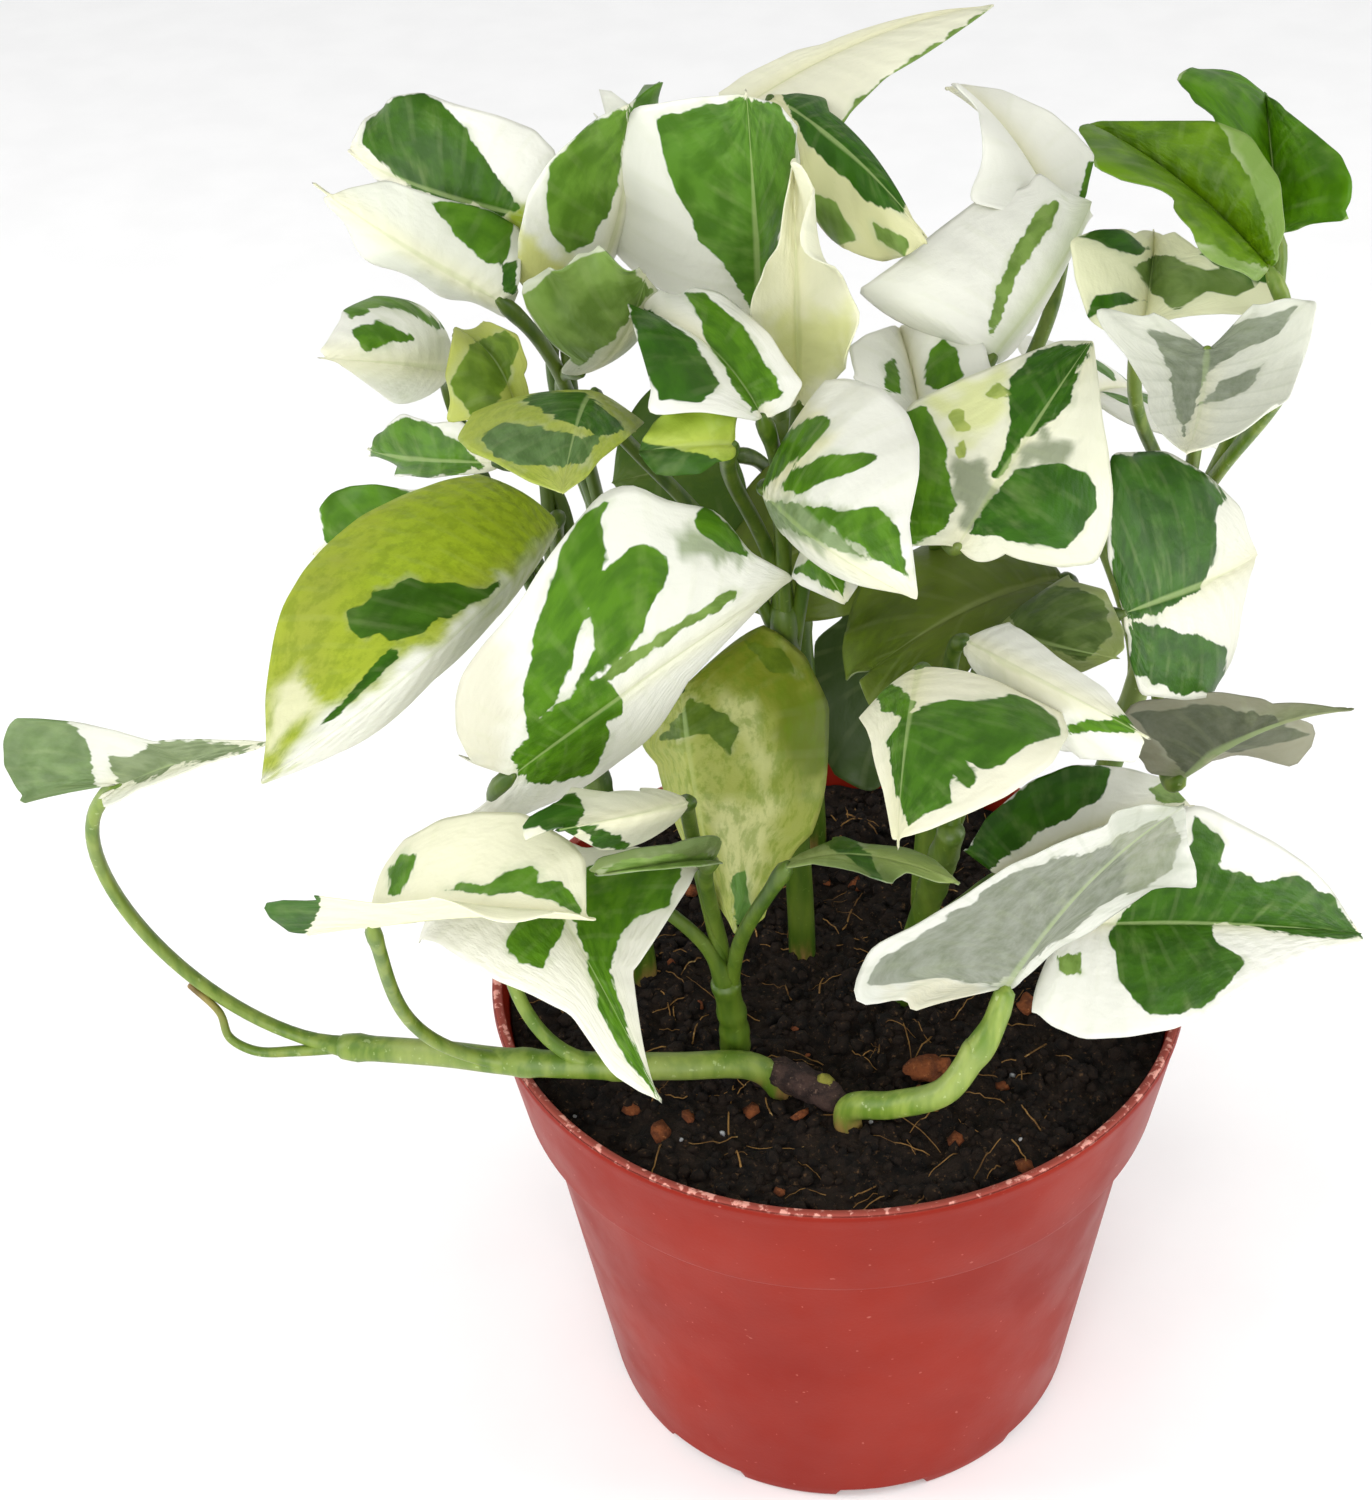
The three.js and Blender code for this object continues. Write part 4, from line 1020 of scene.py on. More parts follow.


# Back vine: the broad leaf that stands in the middle of the top, one beside it, the long pale one
# that points away, and two low behind the stems, their dark green painted shade.
grow_vine("back", stem=[(-4, 38, 76), (-4, 38, 92), (-6, 39, 135), (-8, 40, 176)], leaves=[
    dict(at=0.9, base=(-11, 33, 196), tip=(-1, -10, 45), left=(-21, 1, 25), right=(6, 5, 25),
         outline=[(740, 94), (700, 97), (660, 103), (629, 109), (620, 150), (608, 200), (600, 232),
             (625, 268), (660, 292), (705, 296), (745, 315), (762, 338), (778, 290), (795, 230), (802, 180),
             (800, 130), (779, 104)],
         marks=[((98, 148, 46), [(660, 116), (707, 104), (747, 98), (779, 105), (794, 134), (794, 190),
                    (785, 223), (768, 262), (762, 300), (754, 316), (742, 290), (725, 262), (700, 240),
                    (689, 219), (674, 190), (663, 150)])]),
    dict(at=0.98, base=(-9, 48, 229), tip=(23, -24, -12), left=(12, 3, -6), right=(7, -15, -12),
         back=(0, 1, -12),
         outline=[(778, 98), (800, 94), (825, 98), (835, 128), (857, 148), (877, 172), (892, 202),
             (915, 222), (930, 240), (906, 256), (880, 262), (845, 250), (815, 225), (800, 190),
             (790, 150)],
         ground=(226, 226, 176),
         marks=[(DEEP, [(782, 96), (825, 86), (862, 100), (880, 140), (904, 180), (904, 216), (886, 208),
                    (868, 198), (835, 170), (805, 140)]),
                (SOFT_GREEN, [(812, 194), (836, 200), (857, 240), (838, 244), (820, 225)]),
                (SOFT_GREEN, [(875, 223), (908, 240), (904, 256), (880, 240)])]),
    dict(at=0.95, base=(-14, 58, 223), tip=(42, 29, 5), left=(18, 22, 3), right=(19, -4, 1),
         outline=[(992, 7), (950, 16), (912, 20), (868, 35), (794, 51), (743, 76), (716, 96), (760, 104),
             (800, 118), (834, 132), (850, 112), (886, 78), (917, 60), (944, 42), (975, 20)],
         ground=(248, 247, 226),
         marks=[(SOFT_GREEN, [(990, 8), (944, 40), (917, 58), (886, 76), (850, 110), (838, 126), (842, 134),
                    (862, 118), (892, 92), (925, 68), (950, 50)])]),
    # The two leaves low behind the stems: their dark ground and rib are green darkened with painted shade.
    dict(at=0.7, base=(8, 27, 166), tip=(-27, -4, -13), left=(-5, -9, -15), right=(-13, 7, 8),
         ground=(104, 122, 44), rib=(128, 142, 66), mottle=0.5),
    dict(at=0.6, base=(-16, 30, 175), tip=(-20, -3, -3), left=(-10, -9, -13), right=(-10, 7, 11),
         ground=(78, 110, 34), rib=(110, 134, 60), mottle=0.2),
])


# Centre vine: the narrow cream leaf that stands upright with small ones round it, a white and
# green one that hangs forward, and the cloudy olive one over the peat.
grow_vine("centre", stem=[(-6, 8, 76), (-6, 8, 92), (-7, 8, 125), (-8, 8, 160)], leaves=[
    dict(at=0.98, base=(-5, 23, 189), tip=(0, -11, 45), left=(-6, -12, 22), right=(6, -12, 22),
         curl=(-0.8, -0.8),
         outline=[(796, 152), (786, 195), (779, 245), (756, 279), (750, 312), (756, 350), (780, 392),
             (820, 398), (852, 360), (862, 322), (848, 290), (836, 262), (823, 212), (808, 178)],
         ground=(247, 246, 222),
         tints=[((232, 234, 170), 40, [(770, 320), (850, 310), (855, 360), (800, 400), (770, 370)])]),
    dict(at=0.9, base=(-10, -10, 205), tip=(-17, 18, 7), left=(-16, -5, 10), right=(-3, 19, 6),
         back=(3, 6, -12),
         outline=[(625, 294), (655, 290), (682, 286), (719, 292), (744, 311), (770, 335), (784, 358),
             (803, 384), (790, 408), (760, 422), (720, 415), (690, 408), (658, 402), (648, 372),
             (635, 331)],
         marks=[(DEEP, [(628, 300), (650, 310), (690, 340), (720, 385), (700, 405), (660, 400),
                    (640, 360)]),
                (GREEN, [(686, 294), (707, 296), (732, 320), (756, 347), (782, 394), (750, 413), (729, 382),
                    (706, 340)])]),
    dict(at=0.8, base=(-34, -9, 209), tip=(-1, -41, 8), left=(7, 5, -7), right=(-20, -6, -3),
         outline=[(563, 493), (530, 482), (494, 462), (470, 452), (457, 439), (480, 402), (505, 384),
             (535, 372), (575, 370), (605, 376), (625, 388), (640, 405), (644, 423), (625, 440), (600, 460),
             (586, 478)],
         ground=(176, 190, 74), rib=(204, 212, 120), mottle=0.5,
         marks=[(DEEP, [(522, 402), (545, 392), (586, 394), (625, 431), (600, 436), (560, 420)]),
                ((104, 140, 74), [(480, 441), (504, 423), (596, 439), (586, 464), (540, 470),
                    (494, 458)])]),
    dict(at=0.95, base=(-14, -16, 204), tip=(-13, -5, 2), left=(2, -3, -5), right=(0, 3, 4),
         back=(-3, 8, -9), limits=(0.45, 1.3),
         outline=[(750, 416), (744, 402), (722, 396), (690, 398), (664, 404), (652, 416), (640, 438),
             (602, 464), (630, 470), (668, 476), (700, 474), (735, 450)],
         ground=(158, 184, 56), rib=(206, 216, 104), mottle=0.3,
         marks=[((60, 104, 22), [(596, 490), (606, 452), (640, 440), (690, 452), (720, 462), (700, 490),
                    (640, 490)])]),
    dict(at=0.76, base=(-10, -14, 195), tip=(21, -38, 6), left=(13, 7, 13), right=(5, 5, -14),
         lobes=(0.6, 0.6),
         outline=[(918, 597), (909, 522), (919, 473), (919, 443), (907, 412), (880, 388), (846, 378),
             (815, 382), (784, 396), (748, 423), (733, 443), (730, 470), (738, 521), (784, 535), (819, 545),
             (860, 553), (891, 575)],
         tints=[(IVORY, 40, [(740, 440), (800, 395), (830, 440), (790, 500)]),
                ((178, 190, 158), 16, [(745, 500), (790, 498), (850, 514), (880, 556), (820, 545),
                    (770, 530)])],
         marks=[(GREEN, [(738, 486), (752, 462), (780, 436), (818, 414), (834, 422), (812, 448), (786, 470),
                    (764, 492)]),
                (GREEN, [(780, 488), (800, 468), (836, 454), (880, 458), (862, 470), (826, 482),
                    (800, 496)]),
                (GREEN, [(800, 506), (840, 512), (875, 508), (890, 516), (901, 540), (910, 578), (891, 570),
                    (868, 552), (845, 538), (826, 524)]),
                ((150, 172, 124), [(756, 500), (800, 504), (826, 524), (850, 545), (870, 560), (846, 552),
                    (810, 538), (776, 524)]),
                (DEEP, [(631, 470), (703, 486), (756, 492), (738, 521), (700, 512), (658, 500)])]),
    dict(at=0.7, base=(-4, 0, 177), tip=(6, -15, -1), left=(9, -1, -2), right=(-2, 0, -6),
         outline=[(845, 605), (800, 585), (789, 573), (795, 555), (813, 547), (862, 556), (862, 580)],
         marks=[(GREEN, [(796, 572), (820, 552), (850, 562), (842, 596), (820, 580)])]),
    dict(at=0.6, base=(-24, -5, 153), tip=(8, -24, -30), left=(20, 0, -7), right=(-8, 9, -18),
         back=(3, 11, -8), lobes=(0.75, 0.75), limits=(0.45, 1.3),
         outline=[(747, 965), (725, 880), (699, 840), (684, 805), (668, 777), (642, 744), (650, 700),
             (675, 655), (700, 628), (744, 618), (777, 632), (805, 655), (824, 694), (842, 740), (844, 775),
             (829, 816), (795, 850), (770, 900)],
         ground=(172, 180, 88), rib=(190, 198, 110), mottle=0.9,
         tints=[((138, 150, 40), 40, [(680, 640), (760, 615), (820, 680), (780, 720), (720, 690),
                    (670, 680)]),
                ((116, 134, 26), 30, [(780, 690), (835, 690), (846, 760), (800, 790), (776, 740)]),
                ((206, 210, 140), 20, [(715, 690), (750, 700), (775, 760), (760, 790), (735, 740)]),
                ((214, 216, 150), 30, [(700, 800), (780, 800), (770, 840), (745, 900), (715, 850)])],
         marks=[((104, 132, 36), [(690, 700), (712, 706), (740, 730), (728, 756), (708, 735), (660, 740)]),
                ((118, 142, 34), [(740, 640), (780, 650), (800, 676), (770, 672)]),
                ((96, 140, 56), [(730, 880), (745, 870), (752, 930), (742, 955)])]),
])


# Middle right vine: three white leaves on top, the square one with grey and green patches below
# them, and two dark ones in the shade.
grow_vine("middle_right", painted_shade=0.7, stem=[(16, 20, 76), (16, 20, 92), (18, 22, 125), (19, 24, 158)],
          leaves=[
    dict(at=0.98, base=(37, 45, 207), tip=(-17, 29, 12), left=(-12, -1, 12), right=(4, 19, 7),
         outline=[(944, 82), (1002, 90), (1051, 112), (1075, 133), (1095, 155), (1085, 200), (1060, 225),
             (1020, 215), (993, 184), (984, 139), (978, 108)],
         marks=[(GREEN, [(1086, 160), (1110, 160), (1120, 200), (1100, 235), (1075, 220)])]),
    dict(at=0.9, base=(25, 16, 200), tip=(16, 24, 14), left=(-20, 9, 7), right=(11, 28, 0),
         outline=[(1088, 200), (1060, 190), (1040, 170), (1029, 186), (975, 202), (939, 229), (895, 264),
             (857, 291), (850, 302), (880, 325), (930, 345), (985, 358), (1008, 352), (1020, 330),
             (1029, 291), (1058, 255), (1087, 215)],
         rib=(190, 204, 150),
         marks=[(SOFT_GREEN, [(1064, 196), (1050, 225), (1030, 255), (1010, 290), (994, 340), (984, 334),
                    (998, 288), (1018, 240), (1040, 208)])]),
    dict(at=0.8, base=(14, 7, 192), tip=(-3, 26, 4), left=(-11, 5, 11), right=(5, 3, 7), bow=1,
         outline=[(849, 347), (865, 335), (891, 326), (922, 324), (966, 330), (985, 345), (990, 375),
             (975, 392), (930, 396), (880, 394), (855, 380)],
         marks=[(GREEN, [(884, 392), (884, 364), (892, 360), (900, 376), (898, 394)]),
                (GREEN, [(926, 386), (932, 352), (944, 338), (958, 352), (962, 376), (944, 392)])]),
    # A leaf low at the back, over the rim: its near-black green ground and rib are painted shade.
    dict(at=0.6, base=(8, 47, 138), tip=(3, -2, -38), left=(-15, -2, -12), right=(16, -3, -12),
         outline=[(815, 640), (850, 612), (920, 612), (955, 660), (960, 740), (930, 790), (885, 800),
             (845, 790), (820, 750), (812, 700)],
         ground=(60, 84, 26), rib=(84, 108, 42), silver=0.1),
    dict(at=0.9, base=(18, -22, 190), tip=(21, 33, 15), left=(-7, 25, 7), right=(23, 14, -5),
         back=(-2, 14, -10),
         outline=[(1093, 341), (1060, 341), (1036, 350), (1005, 362), (960, 380), (907, 405), (902, 450),
             (903, 500), (911, 543), (925, 560), (950, 545), (985, 548), (1020, 560), (1060, 568),
             (1097, 563), (1110, 530), (1113, 494), (1108, 450), (1103, 424), (1098, 380)],
         ground=(246, 246, 226),
         tints=[(GREY, 10, [(950, 453), (985, 462), (996, 500), (990, 532), (962, 530), (954, 490)]),
                (GREY, 8, [(1020, 452), (1044, 430), (1077, 441), (1060, 458), (1025, 468)]),
                ((232, 236, 176), 24, [(930, 400), (1000, 370), (1010, 410), (960, 450)])],
         marks=[((188, 202, 108), [(948, 418), (956, 408), (966, 412), (962, 422), (970, 428), (958, 434)]),
                ((188, 202, 108), [(984, 396), (996, 386), (1004, 392), (996, 402)]),
                ((188, 202, 108), [(955, 446), (964, 440), (968, 452), (960, 462)]),
                (GREEN, [(905, 412), (926, 404), (938, 428), (946, 453), (955, 504), (945, 530), (911, 545),
                    (905, 480)]),
                (DEEP, [(1091, 344), (1036, 350), (1012, 381), (1010, 420), (1004, 448), (990, 480),
                    (1003, 476), (1022, 440), (1046, 425), (1070, 404), (1078, 372)]),
                (DEEP, [(1015, 471), (1060, 463), (1085, 474), (1097, 488), (1093, 512), (1076, 532),
                    (1064, 548), (970, 534), (984, 505), (1000, 488)])]),
    # A leaf in the shade below: its dark olive ground is painted shade, lighter towards its top and darker at
    # its lower left.
    dict(at=0.7, base=(36, 6, 166), tip=(-30, -20, -3), left=(-13, -15, -3), right=(-15, 6, 0),
         outline=[(848, 690), (842, 650), (850, 605), (868, 570), (905, 545), (945, 535), (1000, 535),
             (1060, 548), (1085, 575), (1080, 620), (1040, 660), (960, 700), (900, 715), (866, 710)],
         ground=(104, 122, 44), rib=(128, 142, 66), mottle=0.45,
         tints=[((124, 142, 62), 40, [(900, 545), (1000, 530), (1060, 550), (960, 590), (900, 580)]),
                ((86, 106, 26), 40, [(850, 600), (900, 600), (920, 660), (880, 700), (846, 660)])]),
])


# Back right vine: the two bright green leaves at the top right, two grey ones seen from
# beneath, and a pale one. The one behind isn't in the photograph, so a rule draws its strokes.
grow_vine("back_right", painted_shade=0.3, stem=[(44, 28, 76), (44, 28, 92), (52, 32, 122), (58, 36, 150)], leaves=[
    dict(at=0.98, base=(64, 10, 217), tip=(-24, 38, 6), left=(-13, -3, 8), right=(-8, 24, 13),
         outline=[(1077, 127), (1100, 121), (1160, 121), (1215, 121), (1250, 135), (1280, 180), (1285, 230),
             (1271, 268), (1244, 240), (1215, 225), (1193, 231), (1157, 190), (1112, 175)],
         ground=SOFT_GREEN, rib=(170, 196, 120),
         marks=[((108, 150, 4), [(1070, 118), (1215, 116), (1260, 200), (1280, 275), (1190, 240),
                    (1105, 180)])]),
    dict(at=0.9, base=(69, 32, 212), tip=(1, 29, 10.5), left=(-13, 17, 16), right=(8, -6, 11),
         outline=[(1176, 84), (1181, 72), (1196, 66), (1214, 66), (1240, 74), (1277, 103), (1315, 133),
             (1341, 155), (1352, 180), (1349, 202), (1334, 219), (1300, 223), (1272, 226), (1262, 240),
             (1240, 204), (1224, 150), (1214, 122), (1206, 100), (1184, 96)],
         ground=(140, 176, 76), rib=(170, 196, 120),
         marks=[((88, 142, 0), [(1170, 90), (1193, 62), (1250, 66), (1300, 106), (1355, 157), (1360, 190),
                    (1340, 225), (1280, 230), (1230, 180), (1210, 120)])]),
    dict(at=0.8, base=(55, 2, 208), tip=(-7, -33, 2), left=(-16, 6, 2), right=(15, 1, 6), back=(1, 8, -8),
         outline=[(1186, 452), (1171, 438), (1151, 398), (1122, 349), (1090, 318), (1105, 312), (1135, 317),
             (1184, 313), (1200, 325), (1209, 346), (1225, 325), (1250, 308), (1285, 298), (1318, 302),
             (1309, 344), (1289, 398), (1240, 433), (1205, 448)],
         ground=(240, 241, 230),
         marks=[((128, 140, 110), [(1145, 330), (1170, 335), (1196, 338), (1220, 329), (1258, 316),
                    (1298, 306), (1279, 334), (1239, 352), (1210, 372), (1196, 404), (1184, 438),
                    (1176, 417), (1170, 372), (1156, 346)]),
                ((138, 148, 122), [(1198, 408), (1220, 386), (1265, 365), (1252, 388), (1227, 402)])]),
    dict(at=0.75, base=(57, 1, 130), tip=(22, -17, 26), left=(10, 4, 0), right=(3, -5, 18),
         outline=[(1348, 708), (1314, 728), (1264, 699), (1218, 692), (1172, 697), (1124, 703), (1125, 740),
             (1150, 770), (1181, 778), (1209, 763), (1252, 756), (1287, 747), (1320, 735)],
         ground=(150, 148, 122), rib=(118, 138, 60), silver=0.45,
         marks=[((92, 98, 68), [(1128, 712), (1180, 706), (1225, 704), (1270, 716), (1310, 734),
                    (1262, 746), (1215, 752), (1188, 776), (1160, 745)])]),
    dict(at=0.6, base=(44, 60, 168), tip=(16, 34, -22), left=(-8, 26, -4), right=(24, 2, -14), flames=21),
    dict(at=0.92, base=(47, 15, 203), tip=(4, 25, 6), left=(-12, 2, 11), right=(9, -1, 7),
         back=(-2, 2, -12),
         outline=[(1070, 240), (1095, 230), (1124, 229), (1148, 240), (1175, 232), (1200, 250), (1224, 244),
             (1251, 255), (1276, 283), (1255, 300), (1200, 312), (1157, 322), (1120, 312), (1088, 318),
             (1075, 280)],
         ground=(240, 241, 206),
         marks=[(DEEP, [(1070, 238), (1100, 226), (1124, 229), (1148, 250), (1136, 256), (1100, 244)]),
                (DEEP, [(1086, 318), (1095, 298), (1121, 291), (1148, 302), (1120, 306)]),
                (DEEP, [(1200, 255), (1224, 242), (1251, 253), (1280, 285), (1240, 275)]),
                ((122, 148, 76), [(1132, 268), (1151, 256), (1176, 258), (1205, 270), (1236, 272),
                    (1256, 284), (1236, 296), (1208, 292), (1176, 312), (1150, 290)])]),
])


# Front right vine: six leaves from the middle down to the two low ones on the right, of which
# one reaches over the rim.
grow_vine("front_right", stem=[(12, -4, 76), (12, -4, 92), (14, -14, 112), (18, -25, 140)], leaves=[
    dict(at=0.9, base=(25, -15, 171), tip=(16, -17, 6), left=(12, 7, 4), right=(10, 0, -10),
         back=(-4, 1, -8),
         outline=[(1124, 650), (1124, 631), (1105, 590), (1071, 581), (1064, 561), (1018, 581), (993, 606),
             (1000, 640), (1040, 665), (1082, 672), (1110, 660)],
         ground=(150, 162, 104), rib=(146, 162, 88), mottle=0.3,
         marks=[((100, 124, 60), [(1000, 606), (1034, 588), (1080, 590), (1104, 604), (1112, 636),
                    (1086, 660), (1030, 640)])]),
    dict(at=0.85, base=(44, -10, 170), tip=(26, 36, -13), left=(9, 31, 10), right=(18, 16, -24),
         back=(-12, 5, -5),
         outline=[(1258, 555), (1249, 536), (1241, 508), (1209, 476), (1167, 451), (1112, 453), (1105, 500),
             (1108, 560), (1125, 610), (1130, 660), (1140, 695), (1185, 700), (1227, 695), (1241, 614),
             (1250, 575)],
         ground=(244, 244, 232),
         marks=[(DEEP, [(1110, 455), (1167, 452), (1205, 474), (1224, 500), (1212, 520), (1218, 548),
                    (1200, 590), (1160, 612), (1128, 620), (1112, 590)]),
                (DEEP, [(1130, 622), (1160, 628), (1200, 636), (1226, 650), (1220, 690), (1180, 696),
                    (1130, 670)])]),
    dict(at=0.8, base=(19, -30, 179), tip=(24, -24, 0), left=(14, 5, -3), right=(12, -8, -13),
         outline=[(1137, 762), (1059, 757), (1030, 740), (1000, 700), (954, 640), (954, 620), (960, 606),
             (979, 604), (1030, 636), (1059, 659), (1105, 689), (1137, 730), (1144, 741)],
         marks=[(GREEN, [(1068, 722), (1128, 716), (1136, 732), (1100, 730), (1070, 734)])]),
    dict(at=0.74, base=(12, -41, 182), tip=(-4, -40, 0), left=(19, -6, -5), right=(-9, 6, -10),
         lobes=(0.5, 0.5), limits=(0.45, 2.6),
         outline=[(893, 840), (878, 762), (867, 730), (839, 687), (824, 663), (839, 645), (867, 632),
             (896, 645), (915, 662), (938, 640), (961, 629), (1007, 633), (1030, 645), (1057, 700),
             (1069, 734), (1052, 764), (1007, 796), (972, 812), (929, 830)],
         ground=(248, 246, 226), rib=(238, 236, 190),
         marks=[((80, 130, 26), [(905, 720), (922, 707), (950, 702), (981, 702), (1013, 698), (1040, 708),
                    (1059, 723), (1059, 737), (1032, 744), (1000, 767), (984, 769), (962, 756), (970, 770),
                    (977, 780), (970, 794), (954, 778), (946, 786), (951, 803), (919, 817), (908, 829),
                    (892, 773), (888, 740)]),
                (GREEN, [(869, 685), (890, 682), (917, 702), (906, 720), (884, 712)]),
                (DEEP, [(938, 652), (961, 627), (1007, 631), (1034, 645), (1046, 672), (1000, 650),
                    (962, 646)])]),
    dict(at=0.4, base=(27, -7, 116), tip=(34, 17, 1), left=(11, 13, 13), right=(14, -5, 8),
         outline=[(1190, 805), (1166, 779), (1128, 768), (1098, 765), (1071, 765), (1030, 781), (986, 818),
             (966, 852), (958, 885), (1000, 900), (1080, 870), (1150, 830)],
         marks=[(DEEP, [(955, 890), (966, 852), (986, 818), (1030, 781), (1071, 763), (1108, 770),
                    (1100, 800), (1040, 830), (990, 870)]),
                (SOFT_GREEN, [(1150, 790), (1166, 779), (1186, 800), (1160, 806)])]),
    dict(at=0.35, base=(36, -24, 120), tip=(52, 18, -18), left=(22, 22, 8), right=(9, -15, -8),
         outline=[(1364, 940), (1329, 886), (1308, 865), (1274, 842), (1213, 810), (1193, 804), (1150, 830),
             (1080, 890), (1015, 960), (1013, 990), (1050, 1025), (1084, 1039), (1128, 1037), (1179, 1028),
             (1240, 991), (1315, 950)],
         marks=[((64, 112, 12), [(1193, 812), (1223, 842), (1217, 865), (1240, 872), (1257, 882),
                    (1295, 876), (1329, 894), (1364, 940), (1298, 938), (1250, 926), (1213, 923),
                    (1217, 944), (1244, 964), (1230, 984), (1205, 1004), (1179, 1015), (1145, 1015),
                    (1122, 984), (1108, 937), (1130, 900), (1170, 870), (1190, 840)]),
                (SOFT_GREEN, [(1056, 956), (1080, 954), (1082, 974), (1064, 976)])]),
])


# Front vine: a short stem in the front of the peat. Its largest leaf lies across the front, and
# two narrow waved ones are seen edge on.
grow_vine("front", stem=[(-17, -22, 76), (-17, -22, 86), (-17, -22, 96), (-18, -24, 108)], leaves=[
    dict(at=0.98, base=(-46, -45, 167), tip=(40, 35, 10), left=(12, 20, 36), right=(16, 28, -16),
         back=(-12, 6, -12), sweep=4, lobes=(0.6, 0.6),
         outline=[(791, 575), (750, 552), (728, 523), (711, 508), (694, 506), (655, 497), (638, 483),
             (602, 492), (565, 535), (541, 567), (517, 606), (481, 647), (461, 676), (455, 700), (456, 732),
             (470, 760), (452, 775), (430, 790), (436, 810), (459, 817), (522, 814), (556, 800), (590, 783),
             (633, 754), (662, 722), (687, 683), (711, 635), (730, 601), (754, 581)],
         rib=(240, 240, 208),
         tints=[((176, 188, 156), 12, [(674, 540), (690, 528), (723, 540), (735, 556), (690, 560)]),
                # Painted shade: these two greyer tints darken the left side and the low left lobe, where the
                # blade curves down.
                ((232, 230, 212), 36, [(440, 640), (496, 620), (516, 700), (500, 770), (430, 800)]),
                ((222, 222, 208), 20, [(425, 775), (470, 762), (500, 800), (470, 825), (430, 820)])],
         marks=[(GREEN, [(527, 734), (522, 688), (530, 650), (541, 608), (552, 570), (565, 540), (585, 512),
                    (609, 500), (602, 523), (606, 550), (599, 572), (588, 606), (575, 640), (556, 698)]),
                (GREEN, [(577, 686), (592, 650), (589, 603), (606, 570), (628, 548), (650, 546), (667, 557),
                    (664, 584), (650, 610), (640, 634), (620, 655), (599, 671)]),
                (GREEN, [(510, 758), (540, 718), (575, 690), (602, 676), (621, 700), (621, 712), (607, 724),
                    (611, 734), (602, 756), (590, 770), (575, 778), (546, 783), (524, 778)]),
                (GREEN, [(689, 516), (706, 506), (728, 524), (750, 557), (726, 552), (702, 534)]),
                (SOFT_GREEN, [(600, 672), (660, 632), (735, 588), (740, 594), (665, 642), (604, 682)])]),
    dict(at=0.5, base=(-18, -44, 150), tip=(-15, -21, 15), left=(-5, -17, 10), right=(2, 3, 9),
         outline=[(590, 872), (598, 858), (637, 848), (690, 842), (740, 840), (776, 832), (796, 828),
             (800, 838), (773, 848), (740, 860), (700, 866), (650, 866), (610, 874)],
         ground=(112, 134, 74), rib=(140, 156, 92),
         marks=[(SOFT_GREEN, [(596, 868), (640, 856), (740, 852), (780, 842), (700, 866), (640, 876)])]),
    dict(at=0.6, base=(-7, -40, 146), tip=(24, -20, 13), left=(10, 4, -1), right=(13, -16, 6),
         lobes=(1.2, 0.3), limits=(0.35, 2.4),
         outline=[(729, 781), (745, 784), (768, 792), (790, 806), (812, 826), (840, 836), (863, 844),
             (907, 848), (935, 860), (960, 884), (937, 882), (907, 872), (884, 886), (866, 874), (840, 868),
             (800, 862), (790, 836), (762, 820), (745, 804)],
         ground=(116, 138, 76), rib=(166, 182, 104),
         marks=[((62, 106, 20), [(726, 776), (770, 786), (812, 822), (850, 836), (872, 856), (884, 888),
                    (862, 870), (836, 850), (800, 838), (760, 822)])]),
    dict(at=0.75, base=(-21, -44, 161), tip=(-17, -20, 11), left=(-8, -1, -8), right=(-8, 6, -1),
         outline=[(507, 836), (540, 812), (566, 796), (582, 772), (604, 756), (630, 758), (641, 780),
             (640, 800), (668, 802), (692, 818), (702, 843), (650, 847), (600, 850), (578, 838),
             (556, 826)],
         ground=(246, 245, 226),
         marks=[(DEEP, [(581, 826), (600, 826), (629, 842), (626, 850), (596, 846)]),
                (DEEP, [(500, 842), (528, 814), (554, 796), (576, 794), (584, 812), (572, 836), (556, 846),
                    (540, 826)])]),
])


# Low right vine: a stout bare stem that bends up out of the peat, with one leaf turned over so
# that its grey underside shows.
grow_vine("low_right", painted_shade=0.0, stem=[(2, -35, 76), (2, -35, 83), (2, -35, 90), (9, -40, 96),
          (17, -43, 102), (22, -42, 110)], leaves=[
    dict(at=0.99, base=(26, -40, 121), tip=(24, -4, 39), left=(17, 8, 6), right=(-15, -5, 23), stout=0.45,
         outline=[(1185, 808), (1188, 852), (1179, 876), (1128, 903), (1091, 930), (1050, 957), (1016, 984),
             (990, 1010), (952, 1020), (918, 1011), (898, 991), (852, 998), (862, 965), (874, 944),
             (908, 930), (959, 899), (1010, 865), (1050, 849), (1111, 838), (1105, 815), (1145, 804)],
         ground=(250, 250, 244), rib=(150, 166, 104), rib_tint=0.9,
         tints=[((236, 232, 208), 16, [(890, 984), (980, 978), (990, 1024), (900, 1024)]),
                ((214, 218, 204), 24, [(1110, 806), (1186, 806), (1186, 870), (1130, 890)])],
         marks=[((134, 140, 122), [(866, 986), (880, 956), (912, 940), (962, 906), (1012, 873), (1054, 857),
                    (1105, 846), (1124, 838), (1136, 860), (1122, 892), (1086, 918), (1046, 947),
                    (1014, 974), (990, 986), (940, 976), (900, 984)]),
                ((168, 172, 150), [(1110, 842), (1140, 824), (1170, 814), (1182, 840), (1172, 868),
                    (1126, 896), (1118, 870)])]),
])


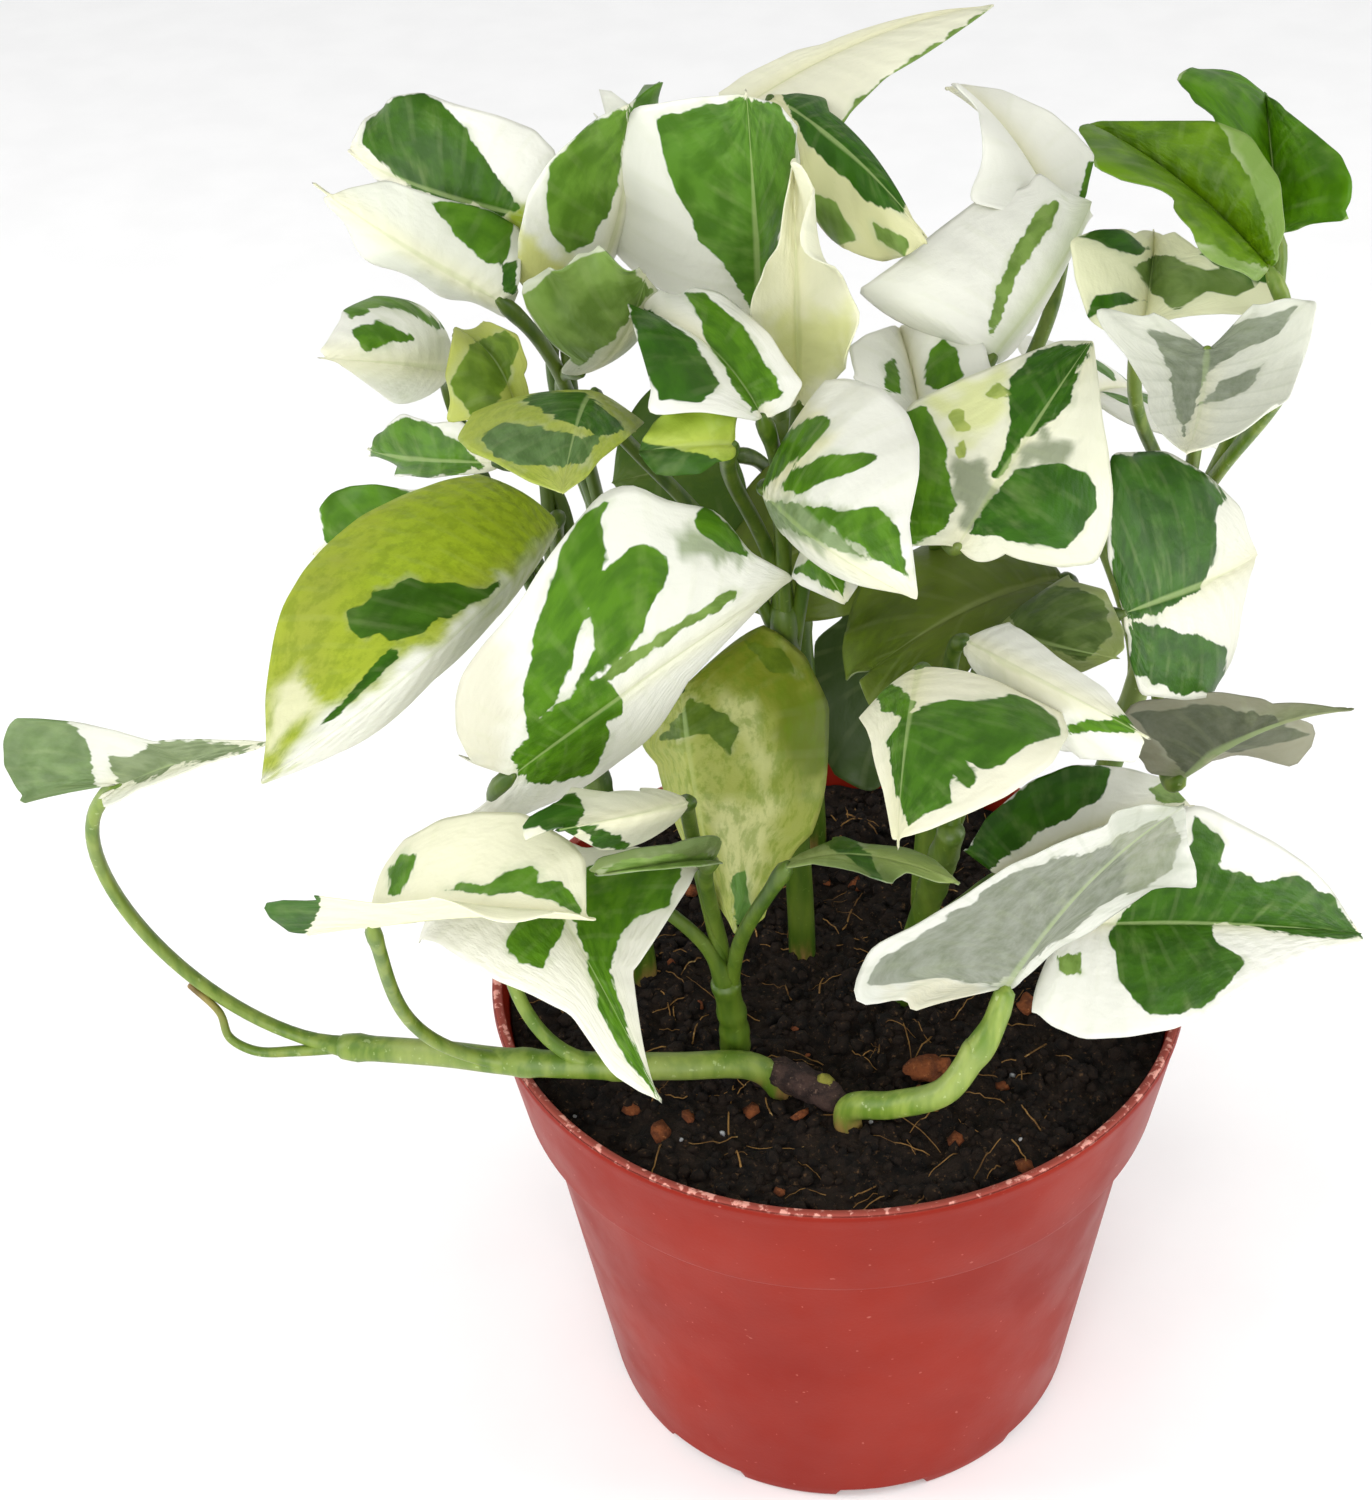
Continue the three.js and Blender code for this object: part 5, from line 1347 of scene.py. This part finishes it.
# Trailing vine: it lies over the rim on the left, with a thin side shoot that has withered at its
# end. One leaf hangs, one is folded, and one stands at the end.
grow_vine("trailing", painted_shade=0.35, stem=[(-10, -26, 76), (-10, -26, 87), (-14, -26.5, 91.5), (-26, -29, 94),
          (-36, -31, 96), (-53, -31, 97), (-65, -27, 95), (-83, -22, 92)],
          shoot=[(-82, -22, 92), (-91, -22, 91), (-98, -22, 91), (-102, -22, 94), (-103, -22, 100),
          (-107, -22, 106)], leaves=[
    dict(at=0.45, base=(-46, -43, 151), tip=(22, -41, -11), left=(30, 5, -8), right=(-21, -8, -11),
         taper=0.75,
         outline=[(659, 1100), (640, 1092), (612, 1074), (571, 1015), (530, 994), (495, 980), (436, 942),
             (395, 934), (400, 900), (450, 870), (520, 850), (600, 850), (660, 848), (703, 855), (690, 885),
             (665, 924), (645, 955), (630, 977), (630, 1010), (645, 1060)],
         ground=(247, 246, 236), rib=(240, 240, 214),
         marks=[(GREEN, [(506, 945), (518, 924), (539, 910), (566, 916), (560, 940), (550, 952), (544, 970),
                    (518, 966)]),
                (GREEN, [(584, 866), (630, 860), (684, 868), (668, 905), (640, 915), (620, 935), (612, 965),
                    (618, 1000), (632, 1040), (659, 1098), (628, 1062), (600, 1010), (584, 950),
                    (570, 918)])]),
    dict(at=0.62, base=(-67, -56, 148), tip=(34, -16, 15), left=(11, 12, 10), right=(-1, -3, 6),
         back=(0, 6, -12), bow=1.5, lobes=(0.3, 1.4), limits=(0.45, 1.4),
         outline=[(586, 914), (586, 860), (571, 842), (524, 813), (480, 812), (442, 819), (401, 842),
             (377, 877), (371, 902), (356, 908), (322, 908), (306, 884), (284, 877), (266, 890), (268, 916),
             (290, 932), (322, 936), (372, 931), (430, 926), (491, 919), (530, 904)],
         outline_right=[(586, 914), (566, 896), (520, 892), (470, 895), (420, 900), (380, 904), (340, 907),
             (322, 906), (306, 884), (284, 877), (266, 890), (268, 916), (290, 932), (322, 936), (372, 938),
             (430, 934), (491, 926), (540, 912)],
         ground=(247, 246, 222), silver=0.12,
         marks=[(GREEN, [(388, 896), (392, 870), (402, 858), (418, 852), (412, 876), (402, 896)]),
                (GREEN, [(446, 892), (462, 880), (484, 886), (506, 872), (530, 868), (541, 874), (536, 884),
                    (560, 884), (576, 898), (580, 914), (552, 902), (516, 894), (480, 896)]),
                (DEEP, [(258, 870), (300, 868), (322, 896), (318, 914), (300, 940), (262, 934)])]),
    dict(at=0.97, base=(-106, -36, 159), tip=(28, -14, 18), left=(-9, -8, -5), right=(-5, -9, 17),
         back=(-21, 6, -14), lobes=(1.2, 1.2), limits=(0.2, 1.9),
         outline=[(272, 744), (240, 741), (200, 741), (150, 744), (118, 760), (100, 790), (104, 808),
             (122, 800), (143, 784), (179, 771), (230, 757)],
         outline_right=[(272, 744), (240, 742), (200, 740), (153, 741), (110, 742), (85, 728), (56, 716),
             (31, 713), (10, 723), (3, 741), (4, 765), (20, 795), (50, 815), (84, 838), (105, 815),
             (122, 792), (143, 781), (179, 769), (230, 756)],
         ground=(240, 241, 232), silver=0.35,
         marks=[((122, 152, 88), [(-4, 745), (2, 716), (31, 704), (58, 712), (88, 738), (97, 798),
                    (60, 802), (40, 822), (10, 790)]),
                ((136, 154, 106), [(108, 752), (130, 754), (156, 741), (200, 740), (268, 744), (225, 758),
                    (176, 768), (140, 784), (118, 780)])]),
])
